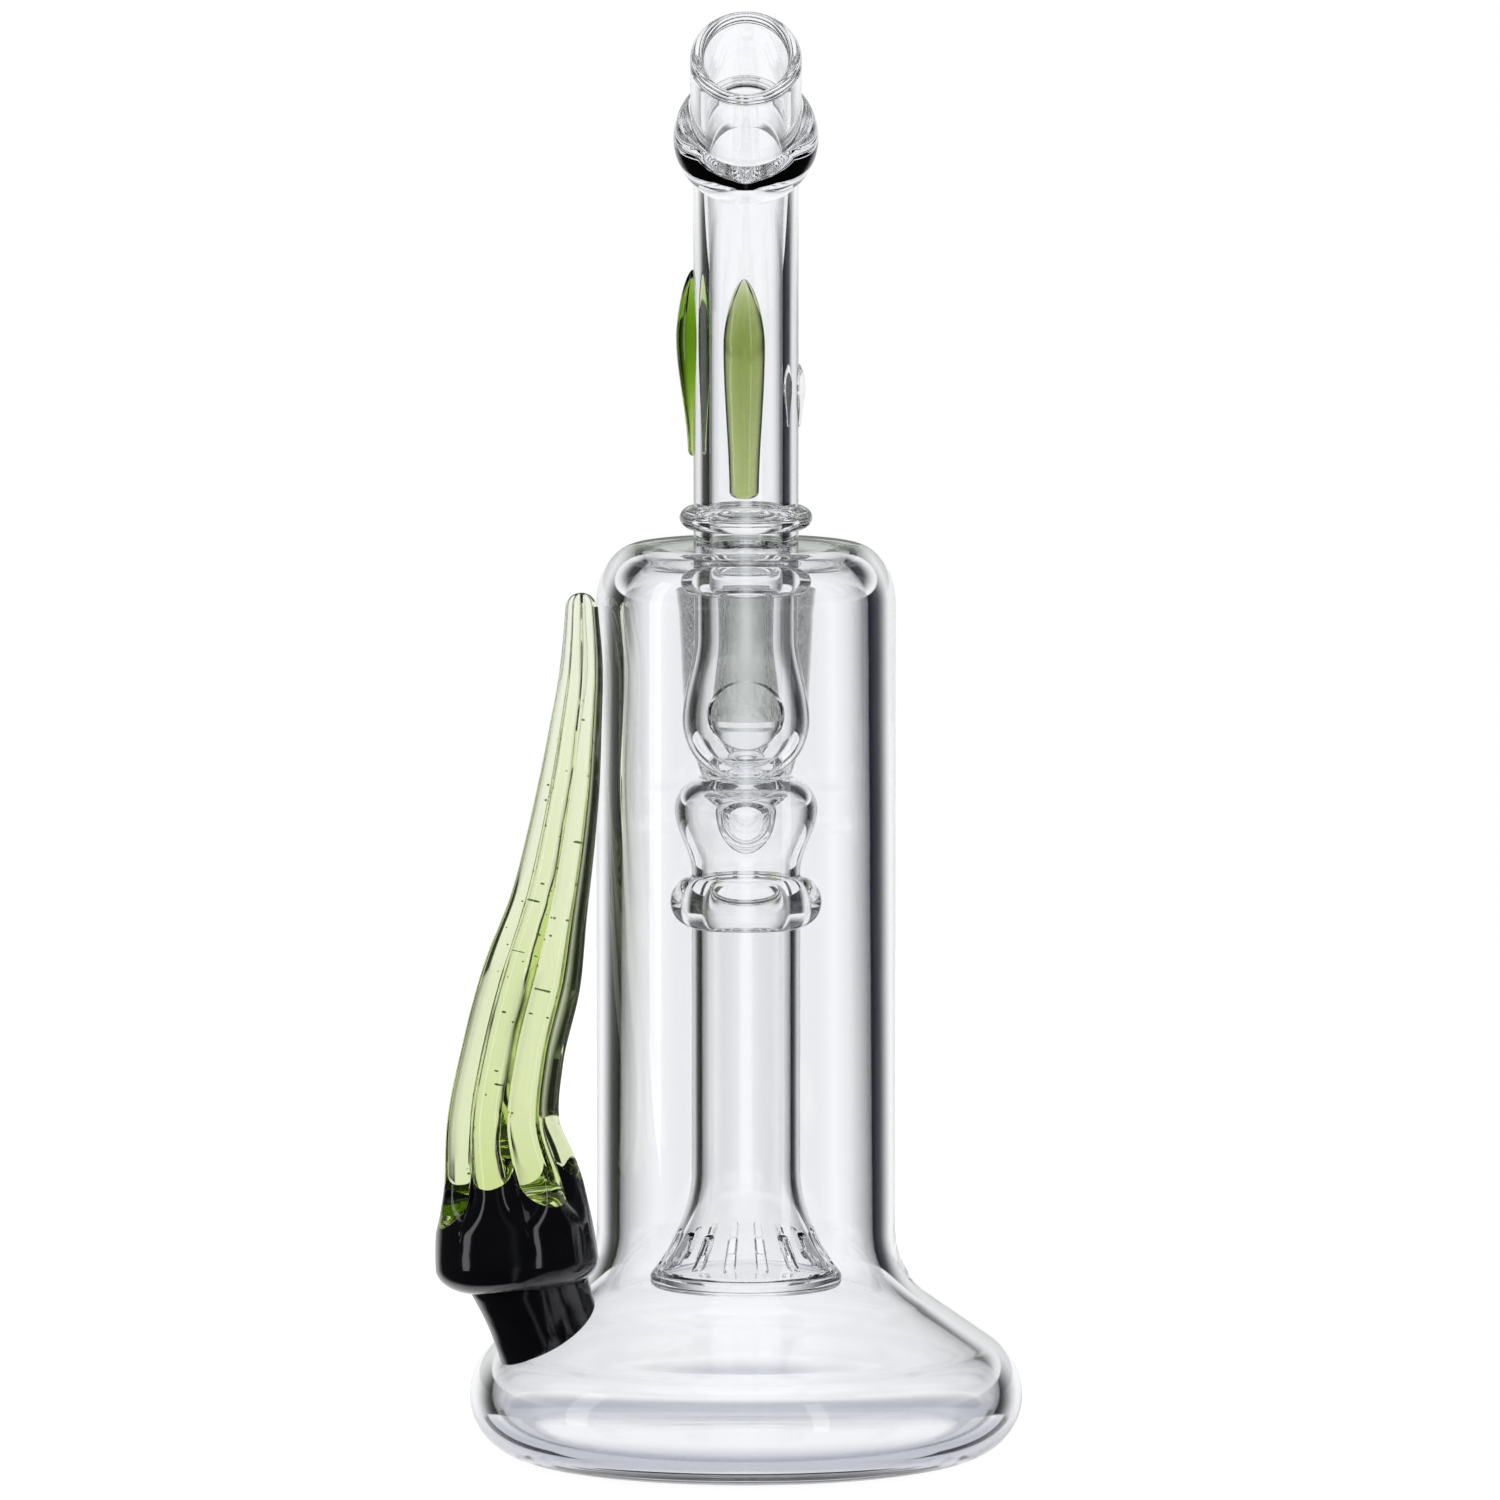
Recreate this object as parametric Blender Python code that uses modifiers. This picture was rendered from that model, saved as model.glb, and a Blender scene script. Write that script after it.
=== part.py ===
"""Glass bubbler water pipe: a clear blown can on a bell foot, with a bent neck and mouthpiece,
a showerhead percolator fed by a ground joint at the back, and a green horn on a black root.

The origin is the middle of the underside, +Z is up, and the mouthpiece leans to -Y.
"""
import math

import bmesh
import bpy
import numpy as np
from mathutils import Matrix, Vector

MM = 0.001

# Fits and facets
FUSE_GAP = 0.3 * MM
WELD_DISTANCE = 0.001 * MM
CAN_STEPS = 32
TUBE_STEPS = 20
ARC_POINTS = 5
BULGE_POINTS = 7
RIM_POINTS = 4
SHARP_ANGLE = math.radians(50)

# Can: a straight tube with a rounded shoulder and a flat deck
CAN_RADIUS = 20.95 * MM
CAN_WALL = 3.2 * MM
CAN_BOTTOM = 33.0 * MM
DECK_TOP = 128.2 * MM
DECK_THICKNESS = 2.0 * MM
SHOULDER_RUN = 5.7 * MM
SHOULDER_DROP = 8.5 * MM

# Bell foot: a concave fillet, a straight slope and a rolled lip
FOOT_RADIUS = 38.8 * MM
FOOT_WALL = 3.0 * MM
FLOOR_THICKNESS = 3.0 * MM
FOOT_FILLET = 12.0 * MM
LIP_UPPER_RADIUS = 9.5 * MM
LIP_HEIGHT = 8.4 * MM
FOOT_SLOPE = math.radians(34.6)

# Neck: straight through the deck, then bent forward
NECK_RADIUS = 7.35 * MM
NECK_WALL = 2.2 * MM
NECK_TAIL = 4.4 * MM
NECK_RISE = 29.8 * MM
NECK_BEND_RADIUS = 33.0 * MM
NECK_LEAN = math.radians(53.5)
NECK_END_RUN = 2.85 * MM
NECK_SIDES_RESOLUTION = 8
NECK_BEND_POINTS = 9

# Rings on the neck
UPPER_RING_RADIUS = 9.3 * MM
UPPER_RING_HEIGHT = 3.4 * MM
UPPER_RING_LIFT = 2.1 * MM
LOWER_RING_RADIUS = 9.1 * MM
LOWER_RING_HEIGHT = 4.2 * MM

# Mouthpiece and its ring
MOUTH_RADIUS = 7.7 * MM
MOUTH_WALL = 1.95 * MM
MOUTH_LENGTH = 20.85 * MM
MOUTH_RING_RADIUS = 10.05 * MM
MOUTH_RING_HEIGHT = 9.4 * MM

# Drops on the neck, two green leaves and a clear one: lower tip above the deck, length, half width, thickness
LEAF_BELLY = 0.70
LEAF_TAIL = 0.70
LEAF_POINTS = 9
FRONT_LEAF_START = 7.0 * MM
FRONT_LEAF_LENGTH = 30.0 * MM
FRONT_LEAF_HALF_WIDTH = 2.9 * MM
SIDE_LEAF_START = 12.0 * MM
SIDE_LEAF_LENGTH = 26.0 * MM
SIDE_LEAF_HALF_WIDTH = 2.7 * MM
CLEAR_DROP_START = 16.5 * MM
CLEAR_DROP_LENGTH = 8.8 * MM
CLEAR_DROP_HALF_WIDTH = 1.8 * MM
CLEAR_DROP_THICKNESS = 0.9 * MM
LEAF_THICKNESS = 2.4 * MM
FRONT_LEAF_TURN = 0.0
SIDE_LEAF_TURN = math.radians(-90)
CLEAR_DROP_TURN = math.radians(90)

# Splash guard: the closed pear that hangs under the neck, with a window in its front
GUARD_TOP_RADIUS = 7.2 * MM
GUARD_BULB_RADIUS = 8.9 * MM
GUARD_WALL = 1.9 * MM
GUARD_NECK_LENGTH = 17.7 * MM
GUARD_STRAIGHT_SHARE = 0.35
GUARD_WINDOW_RADIUS = 4.8 * MM
GUARD_WINDOW_RISE = 1.2 * MM

# Percolator: bulb, ring, stem and slotted showerhead
BULB_RADIUS = 10.0 * MM
BULB_WAIST_RADIUS = 7.6 * MM
BULB_WALL = 1.4 * MM
BULB_CROWN = 5.0 * MM
BULB_DISH_DEPTH = 0.56
BULB_DISH_SPAN = 0.66
BULB_LENGTH = 18.0 * MM
BULB_WAIST_SHARE = 0.68
BULB_NEST = 1.3 * MM
PERC_RING_RADIUS = 10.6 * MM
PERC_RING_HEIGHT = 7.2 * MM
STEM_RADIUS = 7.6 * MM
STEM_WALL = 1.4 * MM
STEM_LENGTH = 37.4 * MM
SKIRT_RADIUS = 13.4 * MM
SKIRT_LENGTH = 15.0 * MM
SKIRT_RIM = 2.2 * MM
SKIRT_WALL = 1.6 * MM
SKIRT_BOWED_SHARE = 0.65
SHOWER_FLOOR_THICKNESS = 2.6 * MM
SLIT_COUNT = 16
SLIT_WIDTH = 1.3 * MM
SLIT_HEIGHT = 5.0 * MM
SLIT_RISE = 1.6 * MM
WELD_BEAD_RADIUS = 3.0 * MM
WELD_BEAD_THICKNESS = 0.8 * MM
WELD_POINTS = 6

# Inlet at the back: ground joint, elbow and the tube through the wall into the bulb
JOINT_STAND_OFF = 15.6 * MM
JOINT_RADIUS = 13.4 * MM
JOINT_BASE_RADIUS = 11.5 * MM
JOINT_BORE_RADIUS = 9.4 * MM
JOINT_TAPER = 0.05
JOINT_LENGTH = 23.7 * MM
JOINT_RIM_ROUND = 1.2 * MM
ELBOW_RADIUS = 10.4 * MM
ELBOW_WALL = 2.4 * MM
ELBOW_BEND_RADIUS = 11.0 * MM
ELBOW_END_RUN = 1.0 * MM
ELBOW_POINTS = 7
ELBOW_SIDES_RESOLUTION = 6
INLET_RADIUS = 3.9 * MM
INLET_WALL = 1.3 * MM
INLET_DROP = 7.5 * MM
SEAL_RING_RADIUS = 6.2 * MM
SEAL_RING_LENGTH = 1.8 * MM

# Horn: stations from the tip down as height, radius, distance off the can and turn to the front
HORN_STATIONS = (
    (119.6 * MM, 2.30 * MM, 0.40 * MM, 12.4),
    (112.0 * MM, 2.90 * MM, 0.40 * MM, 12.7),
    (103.5 * MM, 3.40 * MM, 0.45 * MM, 13.2),
    (95.0 * MM, 4.05 * MM, 1.00 * MM, 14.8),
    (88.0 * MM, 4.70 * MM, 2.10 * MM, 16.1),
    (78.0 * MM, 5.60 * MM, 3.50 * MM, 17.5),
    (69.0 * MM, 6.70 * MM, 4.80 * MM, 19.1),
    (57.8 * MM, 7.30 * MM, 7.10 * MM, 20.4),
    (48.2 * MM, 8.20 * MM, 7.40 * MM, 21.4),
    (38.5 * MM, 10.3 * MM, 4.30 * MM, 23.2),
)
HORN_TIP_LENGTH = 2.4 * MM
HORN_TIP_POINTS = 4
HORN_TIP_REACH = 0.96
HORN_LOBES = 7
HORN_LOBE_POINTS = 4
HORN_FLUTE_DEPTH = 0.07
HORN_TWIST = math.radians(14)
CUFF_LENGTH = 13.2 * MM
CUFF_RADIUS = 11.4 * MM
CUFF_TOP_RADIUS = 10.5 * MM
CUFF_UNDER_RADIUS = 5.4 * MM
CUFF_BELLY = 4.0 * MM
CUFF_BELLY_TOP_DEG = 20
CUFF_SLOPE_OUT = math.radians(4.3)
ROOT_TOP_RADIUS = 8.4 * MM
ROOT_RADIUS = 6.7 * MM
ROOT_WAIST_SHARE = 0.35
ROOT_SEAT_INSET = 8.0 * MM
ROOT_SEAT_TURN = math.radians(23.3)

# Places that follow from the sizes above
CAN_BORE = CAN_RADIUS - CAN_WALL
DECK_UNDER = DECK_TOP - DECK_THICKNESS
NECK_FOOT = DECK_UNDER - NECK_TAIL
NECK_SEAT = NECK_RADIUS + FUSE_GAP
BEND_START = DECK_TOP + NECK_RISE
GUARD_TOP = NECK_FOOT - FUSE_GAP
GUARD_CENTRE = GUARD_TOP - GUARD_NECK_LENGTH
GUARD_BOTTOM = GUARD_CENTRE - GUARD_BULB_RADIUS
BULB_TOP = GUARD_BOTTOM + BULB_NEST
BULB_BOTTOM = BULB_TOP - BULB_LENGTH
STEM_TOP = BULB_BOTTOM - FUSE_GAP
STEM_BOTTOM = STEM_TOP - STEM_LENGTH
SKIRT_TOP = STEM_BOTTOM - FUSE_GAP
SKIRT_EDGE = SKIRT_TOP - SKIRT_LENGTH
SKIRT_BOTTOM = SKIRT_EDGE - SKIRT_RIM
INLET_HEIGHT = BULB_TOP - INLET_DROP
INLET_BORE_SEAT = INLET_RADIUS + FUSE_GAP
JOINT_Y = CAN_RADIUS + JOINT_STAND_OFF
JOINT_FOOT = INLET_HEIGHT + ELBOW_BEND_RADIUS

for old_object in list(bpy.data.objects):
    bpy.data.objects.remove(old_object, do_unlink=True)

parts = bpy.data.collections.new("bubbler_water_pipe")
cutters = bpy.data.collections.new("cutters")
bpy.context.scene.collection.children.link(parts)
bpy.context.scene.collection.children.link(cutters)


def finish(name, colour, roughness, transmission):
    """A Principled material with the glass's own colour and gloss."""
    material = bpy.data.materials.new(name)
    material.use_nodes = True
    shader = material.node_tree.nodes["Principled BSDF"]
    shader.inputs["Base Color"].default_value = (*colour, 1.0)
    shader.inputs["Roughness"].default_value = roughness
    shader.inputs["Metallic"].default_value = 0.0
    shader.inputs["IOR"].default_value = 1.474
    shader.inputs["Transmission Weight"].default_value = transmission
    return material


def clear_glass(name):
    """Polished borosilicate glass."""
    return finish(name + "_glass", (0.93, 0.96, 0.95), 0.02, 1.0)


def green_glass(name):
    """Yellow-green coloured rod."""
    return finish(name + "_glass", (0.55, 0.66, 0.16), 0.04, 0.85)


def black_glass(name):
    """Opaque black rod."""
    return finish(name + "_glass", (0.012, 0.012, 0.014), 0.06, 0.0)


def ground_glass(name):
    """Clear glass with a frosted ground bore."""
    return finish(name + "_glass", (0.80, 0.83, 0.80), 0.35, 0.8)


def arc(centre, run, rise, start_deg, end_deg, count=ARC_POINTS):
    """Points of an elliptical arc in the profile plane, as (radius, height)."""
    angles = np.radians(np.linspace(start_deg, end_deg, count))
    return [(centre[0] + run * math.cos(a), centre[1] + rise * math.sin(a)) for a in angles]


def eased(start, end, share):
    """A value that leaves start and reaches end with no kink at either."""
    share = min(max(share, 0.0), 1.0)
    return start + (end - start) * share * share * (3 - 2 * share)


def as_cutter(obj):
    """Keeps a cutting shape out of the finished object."""
    cutters.objects.link(obj)
    obj.hide_render = True
    obj.display_type = "WIRE"
    return obj


def turned(name, profile, material=None, steps=TUBE_STEPS):
    """Spins a profile about Z: it runs down its outer side, and closes on itself off the axis."""
    count = len(profile)
    edges = [(i, i + 1) for i in range(count - 1)]
    if profile[0][0] > 0:
        edges.append((count - 1, 0))
    mesh = bpy.data.meshes.new(name)
    mesh.from_pydata([(r, 0.0, z) for r, z in profile], edges, [])
    obj = bpy.data.objects.new(name, mesh)
    screw = obj.modifiers.new("turn", "SCREW")
    screw.axis = "Z"
    screw.angle = 2 * math.pi
    screw.steps = steps
    screw.render_steps = steps
    screw.use_merge_vertices = True
    screw.merge_threshold = WELD_DISTANCE
    screw.use_smooth_shade = True
    if material is None:
        return as_cutter(obj)
    parts.objects.link(obj)
    mesh.materials.append(material)
    return obj


def cut(obj, cutter):
    """Takes the cutter's space out of a piece."""
    boolean = obj.modifiers.new("cut_" + cutter.name, "BOOLEAN")
    boolean.operation = "DIFFERENCE"
    boolean.solver = "EXACT"
    boolean.object = cutter


def rod_cutter(name, start, end, radius, sides=TUBE_STEPS):
    """A plain round cutter between two points."""
    start, end = Vector(start), Vector(end)
    bm = bmesh.new()
    bmesh.ops.create_cone(bm, cap_ends=True, segments=sides, radius1=radius, radius2=radius,
                          depth=(end - start).length)
    mesh = bpy.data.meshes.new(name)
    bm.to_mesh(mesh)
    bm.free()
    obj = bpy.data.objects.new(name, mesh)
    obj.location = (start + end) / 2
    obj.rotation_mode = "QUATERNION"
    obj.rotation_quaternion = (end - start).to_track_quat("Z", "Y")
    return as_cutter(obj)


def swept(name, points, radii, section=None, resolution=4, tilts=None):
    """A mesh made from a bevelled curve: a round rod, or a given section, with a radius at each point."""
    curve = bpy.data.curves.new(name, "CURVE")
    curve.dimensions = "3D"
    curve.use_fill_caps = True
    if section is None:
        curve.bevel_depth = 1.0
        curve.bevel_resolution = resolution
    else:
        curve.bevel_mode = "OBJECT"
        curve.bevel_object = section
    spline = curve.splines.new("POLY")
    spline.points.add(len(points) - 1)
    for index, (point, radius) in enumerate(zip(points, radii)):
        spline.points[index].co = (*point, 1.0)
        spline.points[index].radius = radius
        spline.points[index].tilt = tilts[index] if tilts else 0.0
    guide = bpy.data.objects.new(name + "_guide", curve)
    bpy.context.scene.collection.objects.link(guide)
    bpy.context.view_layer.update()
    evaluated = guide.evaluated_get(bpy.context.evaluated_depsgraph_get())
    mesh = bpy.data.meshes.new_from_object(evaluated)
    bm = bmesh.new()
    bm.from_mesh(mesh)
    bmesh.ops.remove_doubles(bm, verts=bm.verts, dist=WELD_DISTANCE)
    bmesh.ops.recalc_face_normals(bm, faces=bm.faces)
    bm.to_mesh(mesh)
    bm.free()
    mesh.shade_smooth()
    mesh.set_sharp_from_angle(angle=SHARP_ANGLE)
    obj = bpy.data.objects.new(name, mesh)
    obj.matrix_world = guide.matrix_world
    bpy.data.objects.remove(guide, do_unlink=True)
    return obj


def as_part(obj, material):
    """Puts a finished mesh among the parts, with its material."""
    obj.data.materials.clear()
    obj.data.materials.append(material)
    parts.objects.link(obj)
    return obj


def ring(name, inner, outer, height, material, centre=0.0):
    """A melted-on glass ring: flat on its bore, round outside."""
    bulge = arc((inner, centre), outer - inner, height / 2, 90, -90, BULGE_POINTS)
    return turned(name, bulge, material)


def bell_side(offset):
    """The foot's outer side, from the can down to the resting face, moved out by an offset."""
    normal = (math.sin(FOOT_SLOPE), math.cos(FOOT_SLOPE))
    slope_deg = 90 - math.degrees(FOOT_SLOPE)
    lip = (FOOT_RADIUS - LIP_UPPER_RADIUS, LIP_HEIGHT)
    fillet_r = CAN_RADIUS + FOOT_FILLET
    reach = lip[0] * normal[0] + lip[1] * normal[1] + LIP_UPPER_RADIUS + FOOT_FILLET
    fillet = (fillet_r, (reach - fillet_r * normal[0]) / normal[1])
    side = arc(fillet, FOOT_FILLET - offset, FOOT_FILLET - offset, 180, 180 + slope_deg)
    side += arc(lip, LIP_UPPER_RADIUS + offset, LIP_UPPER_RADIUS + offset, slope_deg, 0)
    heel = (FOOT_RADIUS - LIP_HEIGHT, LIP_HEIGHT)
    side += arc(heel, LIP_HEIGHT + offset, LIP_HEIGHT + offset, 0, -90)[1:]
    return side


def floor_inside():
    """The foot's inner side, from the middle of the floor up to the can."""
    inside = [point for point in reversed(bell_side(-FOOT_WALL)) if point[1] > FLOOR_THICKNESS]
    return [(0.0, FLOOR_THICKNESS), (FOOT_RADIUS - LIP_HEIGHT, FLOOR_THICKNESS)] + inside


# Can and foot
can_outside = [(NECK_SEAT, DECK_TOP)]
can_outside += arc((CAN_RADIUS - SHOULDER_RUN, DECK_TOP - SHOULDER_DROP), SHOULDER_RUN, SHOULDER_DROP, 90, 0)
inner_drop = SHOULDER_DROP - DECK_THICKNESS
can_inside = arc((CAN_BORE - SHOULDER_RUN, DECK_UNDER - inner_drop), SHOULDER_RUN, inner_drop, 0, 90)
can_profile = can_outside + [(CAN_RADIUS, CAN_BOTTOM), (CAN_BORE, CAN_BOTTOM)] + can_inside
can_profile += [(NECK_SEAT, DECK_UNDER)]
can_body = turned("can_body", can_profile, clear_glass("can_body"), CAN_STEPS)

foot_top = CAN_BOTTOM - FUSE_GAP
foot_profile = floor_inside() + [(CAN_BORE, foot_top), (CAN_RADIUS, foot_top)] + bell_side(0.0) + [(0.0, 0.0)]
turned("bell_foot", foot_profile, clear_glass("bell_foot"), CAN_STEPS)

# Neck, its rings and the mouthpiece
lean = Vector((0.0, -math.sin(NECK_LEAN), math.cos(NECK_LEAN)))


def neck_line(extra):
    """Points up the neck's middle line, with both ends drawn out by an extra length."""
    points = [Vector((0, 0, NECK_FOOT - extra)), Vector((0, 0, BEND_START))]
    for angle in np.linspace(0, NECK_LEAN, NECK_BEND_POINTS)[1:]:
        back = -NECK_BEND_RADIUS * (1 - math.cos(angle))
        points.append(Vector((0, back, BEND_START + NECK_BEND_RADIUS * math.sin(angle))))
    points.append(points[-1] + lean * (NECK_END_RUN + extra))
    return points


def neck_rod(name, radius, extra):
    """A solid rod along the neck."""
    line = neck_line(extra)
    return swept(name, line, [radius] * len(line), resolution=NECK_SIDES_RESOLUTION)


bore_reach = 4 * FUSE_GAP
neck_tube = as_part(neck_rod("neck_tube", NECK_RADIUS, 0.0), clear_glass("neck_tube"))
cut(neck_tube, as_cutter(neck_rod("neck_bore", NECK_RADIUS - NECK_WALL, bore_reach)))
neck_end = neck_line(0.0)[-1]

ring("upper_neck_ring", NECK_SEAT, UPPER_RING_RADIUS, UPPER_RING_HEIGHT, clear_glass("upper_neck_ring"),
     DECK_TOP + UPPER_RING_LIFT + UPPER_RING_HEIGHT / 2)
ring("lower_neck_ring", NECK_SEAT, LOWER_RING_RADIUS, LOWER_RING_HEIGHT, clear_glass("lower_neck_ring"),
     DECK_UNDER - FUSE_GAP - LOWER_RING_HEIGHT / 2)

lip_round = MOUTH_WALL / 2
mouth_profile = arc((MOUTH_RADIUS - lip_round, MOUTH_LENGTH - lip_round), lip_round, lip_round, 180, 0)
mouth_profile += [(MOUTH_RADIUS, 0.0), (MOUTH_RADIUS - MOUTH_WALL, 0.0)]
mouthpiece = turned("mouthpiece", mouth_profile, clear_glass("mouthpiece"))
mouthpiece.location = neck_end + lean * FUSE_GAP
mouth_ring_seat = max(MOUTH_RADIUS, NECK_RADIUS) + FUSE_GAP
mouth_ring = ring("mouth_ring", mouth_ring_seat, MOUTH_RING_RADIUS, MOUTH_RING_HEIGHT,
                  clear_glass("mouth_ring"))
mouth_ring.location = neck_end + lean * (FUSE_GAP / 2)
for leaning_piece in (mouthpiece, mouth_ring):
    leaning_piece.rotation_euler = (NECK_LEAN, 0.0, 0.0)

# Green leaf drops and a small clear drop on the neck
neck_seat = as_cutter(neck_rod("neck_seat", NECK_SEAT, bore_reach))


def neck_drop(name, material, turn, start, length, half_width, thickness):
    """A flat drop with its belly high up, laid on the neck and pressed to its curve."""
    profile = [(0.0, length)]
    for share in np.linspace(1, 0, LEAF_POINTS)[1:-1]:
        if share > LEAF_BELLY:
            swell = math.cos(math.pi / 2 * (share - LEAF_BELLY) / (1 - LEAF_BELLY))
        else:
            swell = LEAF_TAIL + (1 - LEAF_TAIL) * math.sin(math.pi / 2 * share / LEAF_BELLY)
        profile.append((half_width * swell, length * share))
    profile.append((0.0, 0.0))
    drop = turned(name, profile, material, TUBE_STEPS // 2)
    drop.scale = (1.0, thickness / half_width, 1.0)
    drop.rotation_euler = (0.0, 0.0, turn)
    drop.location = (NECK_SEAT * math.sin(turn), -NECK_SEAT * math.cos(turn), DECK_TOP + start)
    cut(drop, neck_seat)


neck_drop("front_leaf", green_glass("front_leaf"), FRONT_LEAF_TURN, FRONT_LEAF_START, FRONT_LEAF_LENGTH,
          FRONT_LEAF_HALF_WIDTH, LEAF_THICKNESS)
neck_drop("side_leaf", green_glass("side_leaf"), SIDE_LEAF_TURN, SIDE_LEAF_START, SIDE_LEAF_LENGTH,
          SIDE_LEAF_HALF_WIDTH, LEAF_THICKNESS)
neck_drop("clear_drop", clear_glass("clear_drop"), CLEAR_DROP_TURN, CLEAR_DROP_START, CLEAR_DROP_LENGTH,
          CLEAR_DROP_HALF_WIDTH, CLEAR_DROP_THICKNESS)

# Splash guard and the weld bead under it
guard_outside = [(GUARD_TOP_RADIUS, GUARD_TOP)]
for share in np.linspace(GUARD_STRAIGHT_SHARE, 1, ARC_POINTS):
    opened = (share - GUARD_STRAIGHT_SHARE) / (1 - GUARD_STRAIGHT_SHARE)
    radius = eased(GUARD_TOP_RADIUS, GUARD_BULB_RADIUS, opened)
    guard_outside.append((radius, GUARD_TOP - share * GUARD_NECK_LENGTH))
guard_bulb = arc((0.0, GUARD_CENTRE), GUARD_BULB_RADIUS, GUARD_BULB_RADIUS, 0, -90, BULGE_POINTS)
guard_outside += guard_bulb[1:-1] + [(0.0, GUARD_BOTTOM)]
guard_inside = [(r - GUARD_WALL, z) for r, z in guard_outside[:-len(guard_bulb) + 1]]
hollow_radius = GUARD_BULB_RADIUS - GUARD_WALL
guard_hollow = arc((0.0, GUARD_CENTRE), hollow_radius, hollow_radius, -90, 0, BULGE_POINTS)[1:-1]
guard_profile = [(0.0, GUARD_BOTTOM + GUARD_WALL)] + guard_hollow + guard_inside[::-1] + guard_outside
splash_guard = turned("splash_guard", guard_profile, clear_glass("splash_guard"))
window_height = GUARD_CENTRE + GUARD_WINDOW_RISE
window_front = (0, -2 * GUARD_BULB_RADIUS, window_height)
cut(splash_guard, rod_cutter("guard_window", window_front, (0, 0, window_height), GUARD_WINDOW_RADIUS))

# Percolator
bulb_shoulder = BULB_TOP - BULB_CROWN
waist_height = bulb_shoulder - BULB_WAIST_SHARE * (BULB_LENGTH - BULB_CROWN)


def crown_rise(reach):
    """Share of the crown's height at a share of its radius: a full shoulder, dished under the guard."""
    nest = max(0.0, 1 - (reach / BULB_DISH_SPAN) ** 2)
    return math.sqrt(1 - reach ** 4) - BULB_DISH_DEPTH * nest ** 2


def bulb_side(inset):
    """The bulb from its crown down to its open end, with the wall taken off by an inset."""
    side = []
    for angle in np.linspace(0, math.pi / 2, BULGE_POINTS):
        reach = math.sin(angle)
        side.append((reach * (BULB_RADIUS - inset), bulb_shoulder + crown_rise(reach) * (BULB_CROWN - inset)))
    side[-1] = (BULB_RADIUS - inset, bulb_shoulder)
    for share in np.linspace(0, 1, ARC_POINTS)[1:]:
        height = bulb_shoulder + (waist_height - bulb_shoulder) * share
        side.append((eased(BULB_RADIUS, BULB_WAIST_RADIUS, share) - inset, height))
    side.append((BULB_WAIST_RADIUS - inset, BULB_BOTTOM))
    return side


perc_bulb = turned("perc_bulb", bulb_side(0.0) + bulb_side(BULB_WALL)[::-1], clear_glass("perc_bulb"))
cut(perc_bulb, rod_cutter("bulb_inlet", (0, 0, INLET_HEIGHT), (0, 2 * BULB_RADIUS, INLET_HEIGHT),
                          INLET_BORE_SEAT))

bead_half = WELD_BEAD_THICKNESS / 2
guard_over_bead = GUARD_CENTRE - math.sqrt(GUARD_BULB_RADIUS ** 2 - WELD_BEAD_RADIUS ** 2)
bulb_under_bead = bulb_shoulder + crown_rise(WELD_BEAD_RADIUS / BULB_RADIUS) * BULB_CROWN
bead_height = (guard_over_bead + bulb_under_bead) / 2
turned("guard_weld", arc((WELD_BEAD_RADIUS, bead_height), bead_half, bead_half, 90, -210, WELD_POINTS),
       clear_glass("guard_weld"), TUBE_STEPS // 2)

ring("perc_ring", max(STEM_RADIUS, BULB_WAIST_RADIUS) + FUSE_GAP, PERC_RING_RADIUS, PERC_RING_HEIGHT,
     clear_glass("perc_ring"), BULB_BOTTOM)
stem_bore = STEM_RADIUS - STEM_WALL
turned("perc_stem", [(STEM_RADIUS, STEM_TOP), (STEM_RADIUS, STEM_BOTTOM), (stem_bore, STEM_BOTTOM),
                     (stem_bore, STEM_TOP)], clear_glass("perc_stem"))


def skirt_side(inset):
    """The showerhead's flare, from the stem down to its edge."""
    side = []
    for share in np.linspace(0, 1, ARC_POINTS):
        bowed = 1 - math.cos(math.pi / 2 * share)
        flare = (1 - SKIRT_BOWED_SHARE) * share * share + SKIRT_BOWED_SHARE * bowed
        radius = STEM_RADIUS + (SKIRT_RADIUS - STEM_RADIUS) * flare
        side.append((radius - inset, SKIRT_TOP - share * SKIRT_LENGTH))
    return side


rim_inner = SKIRT_RADIUS - SKIRT_WALL
skirt_profile = skirt_side(0.0) + [(SKIRT_RADIUS - SKIRT_RIM / 4, SKIRT_BOTTOM), (rim_inner, SKIRT_BOTTOM)]
skirt_profile += skirt_side(SKIRT_WALL)[::-1]
shower_skirt = turned("shower_skirt", skirt_profile, clear_glass("shower_skirt"))

slit_mesh = bpy.data.meshes.new("shower_slits")
slit_bm = bmesh.new()
for index in range(SLIT_COUNT):
    turn_to_slit = Matrix.Rotation(2 * math.pi * (index + 0.5) / SLIT_COUNT, 4, "Z")
    middle = Matrix.Translation((SKIRT_RADIUS, 0, SKIRT_EDGE + SLIT_RISE + SLIT_HEIGHT / 2))
    size = Matrix.Diagonal((SKIRT_RADIUS, SLIT_WIDTH, SLIT_HEIGHT, 1.0))
    bmesh.ops.create_cube(slit_bm, size=1.0, matrix=turn_to_slit @ middle @ size)
slit_bm.to_mesh(slit_mesh)
slit_bm.free()
cut(shower_skirt, as_cutter(bpy.data.objects.new("shower_slits", slit_mesh)))

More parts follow.
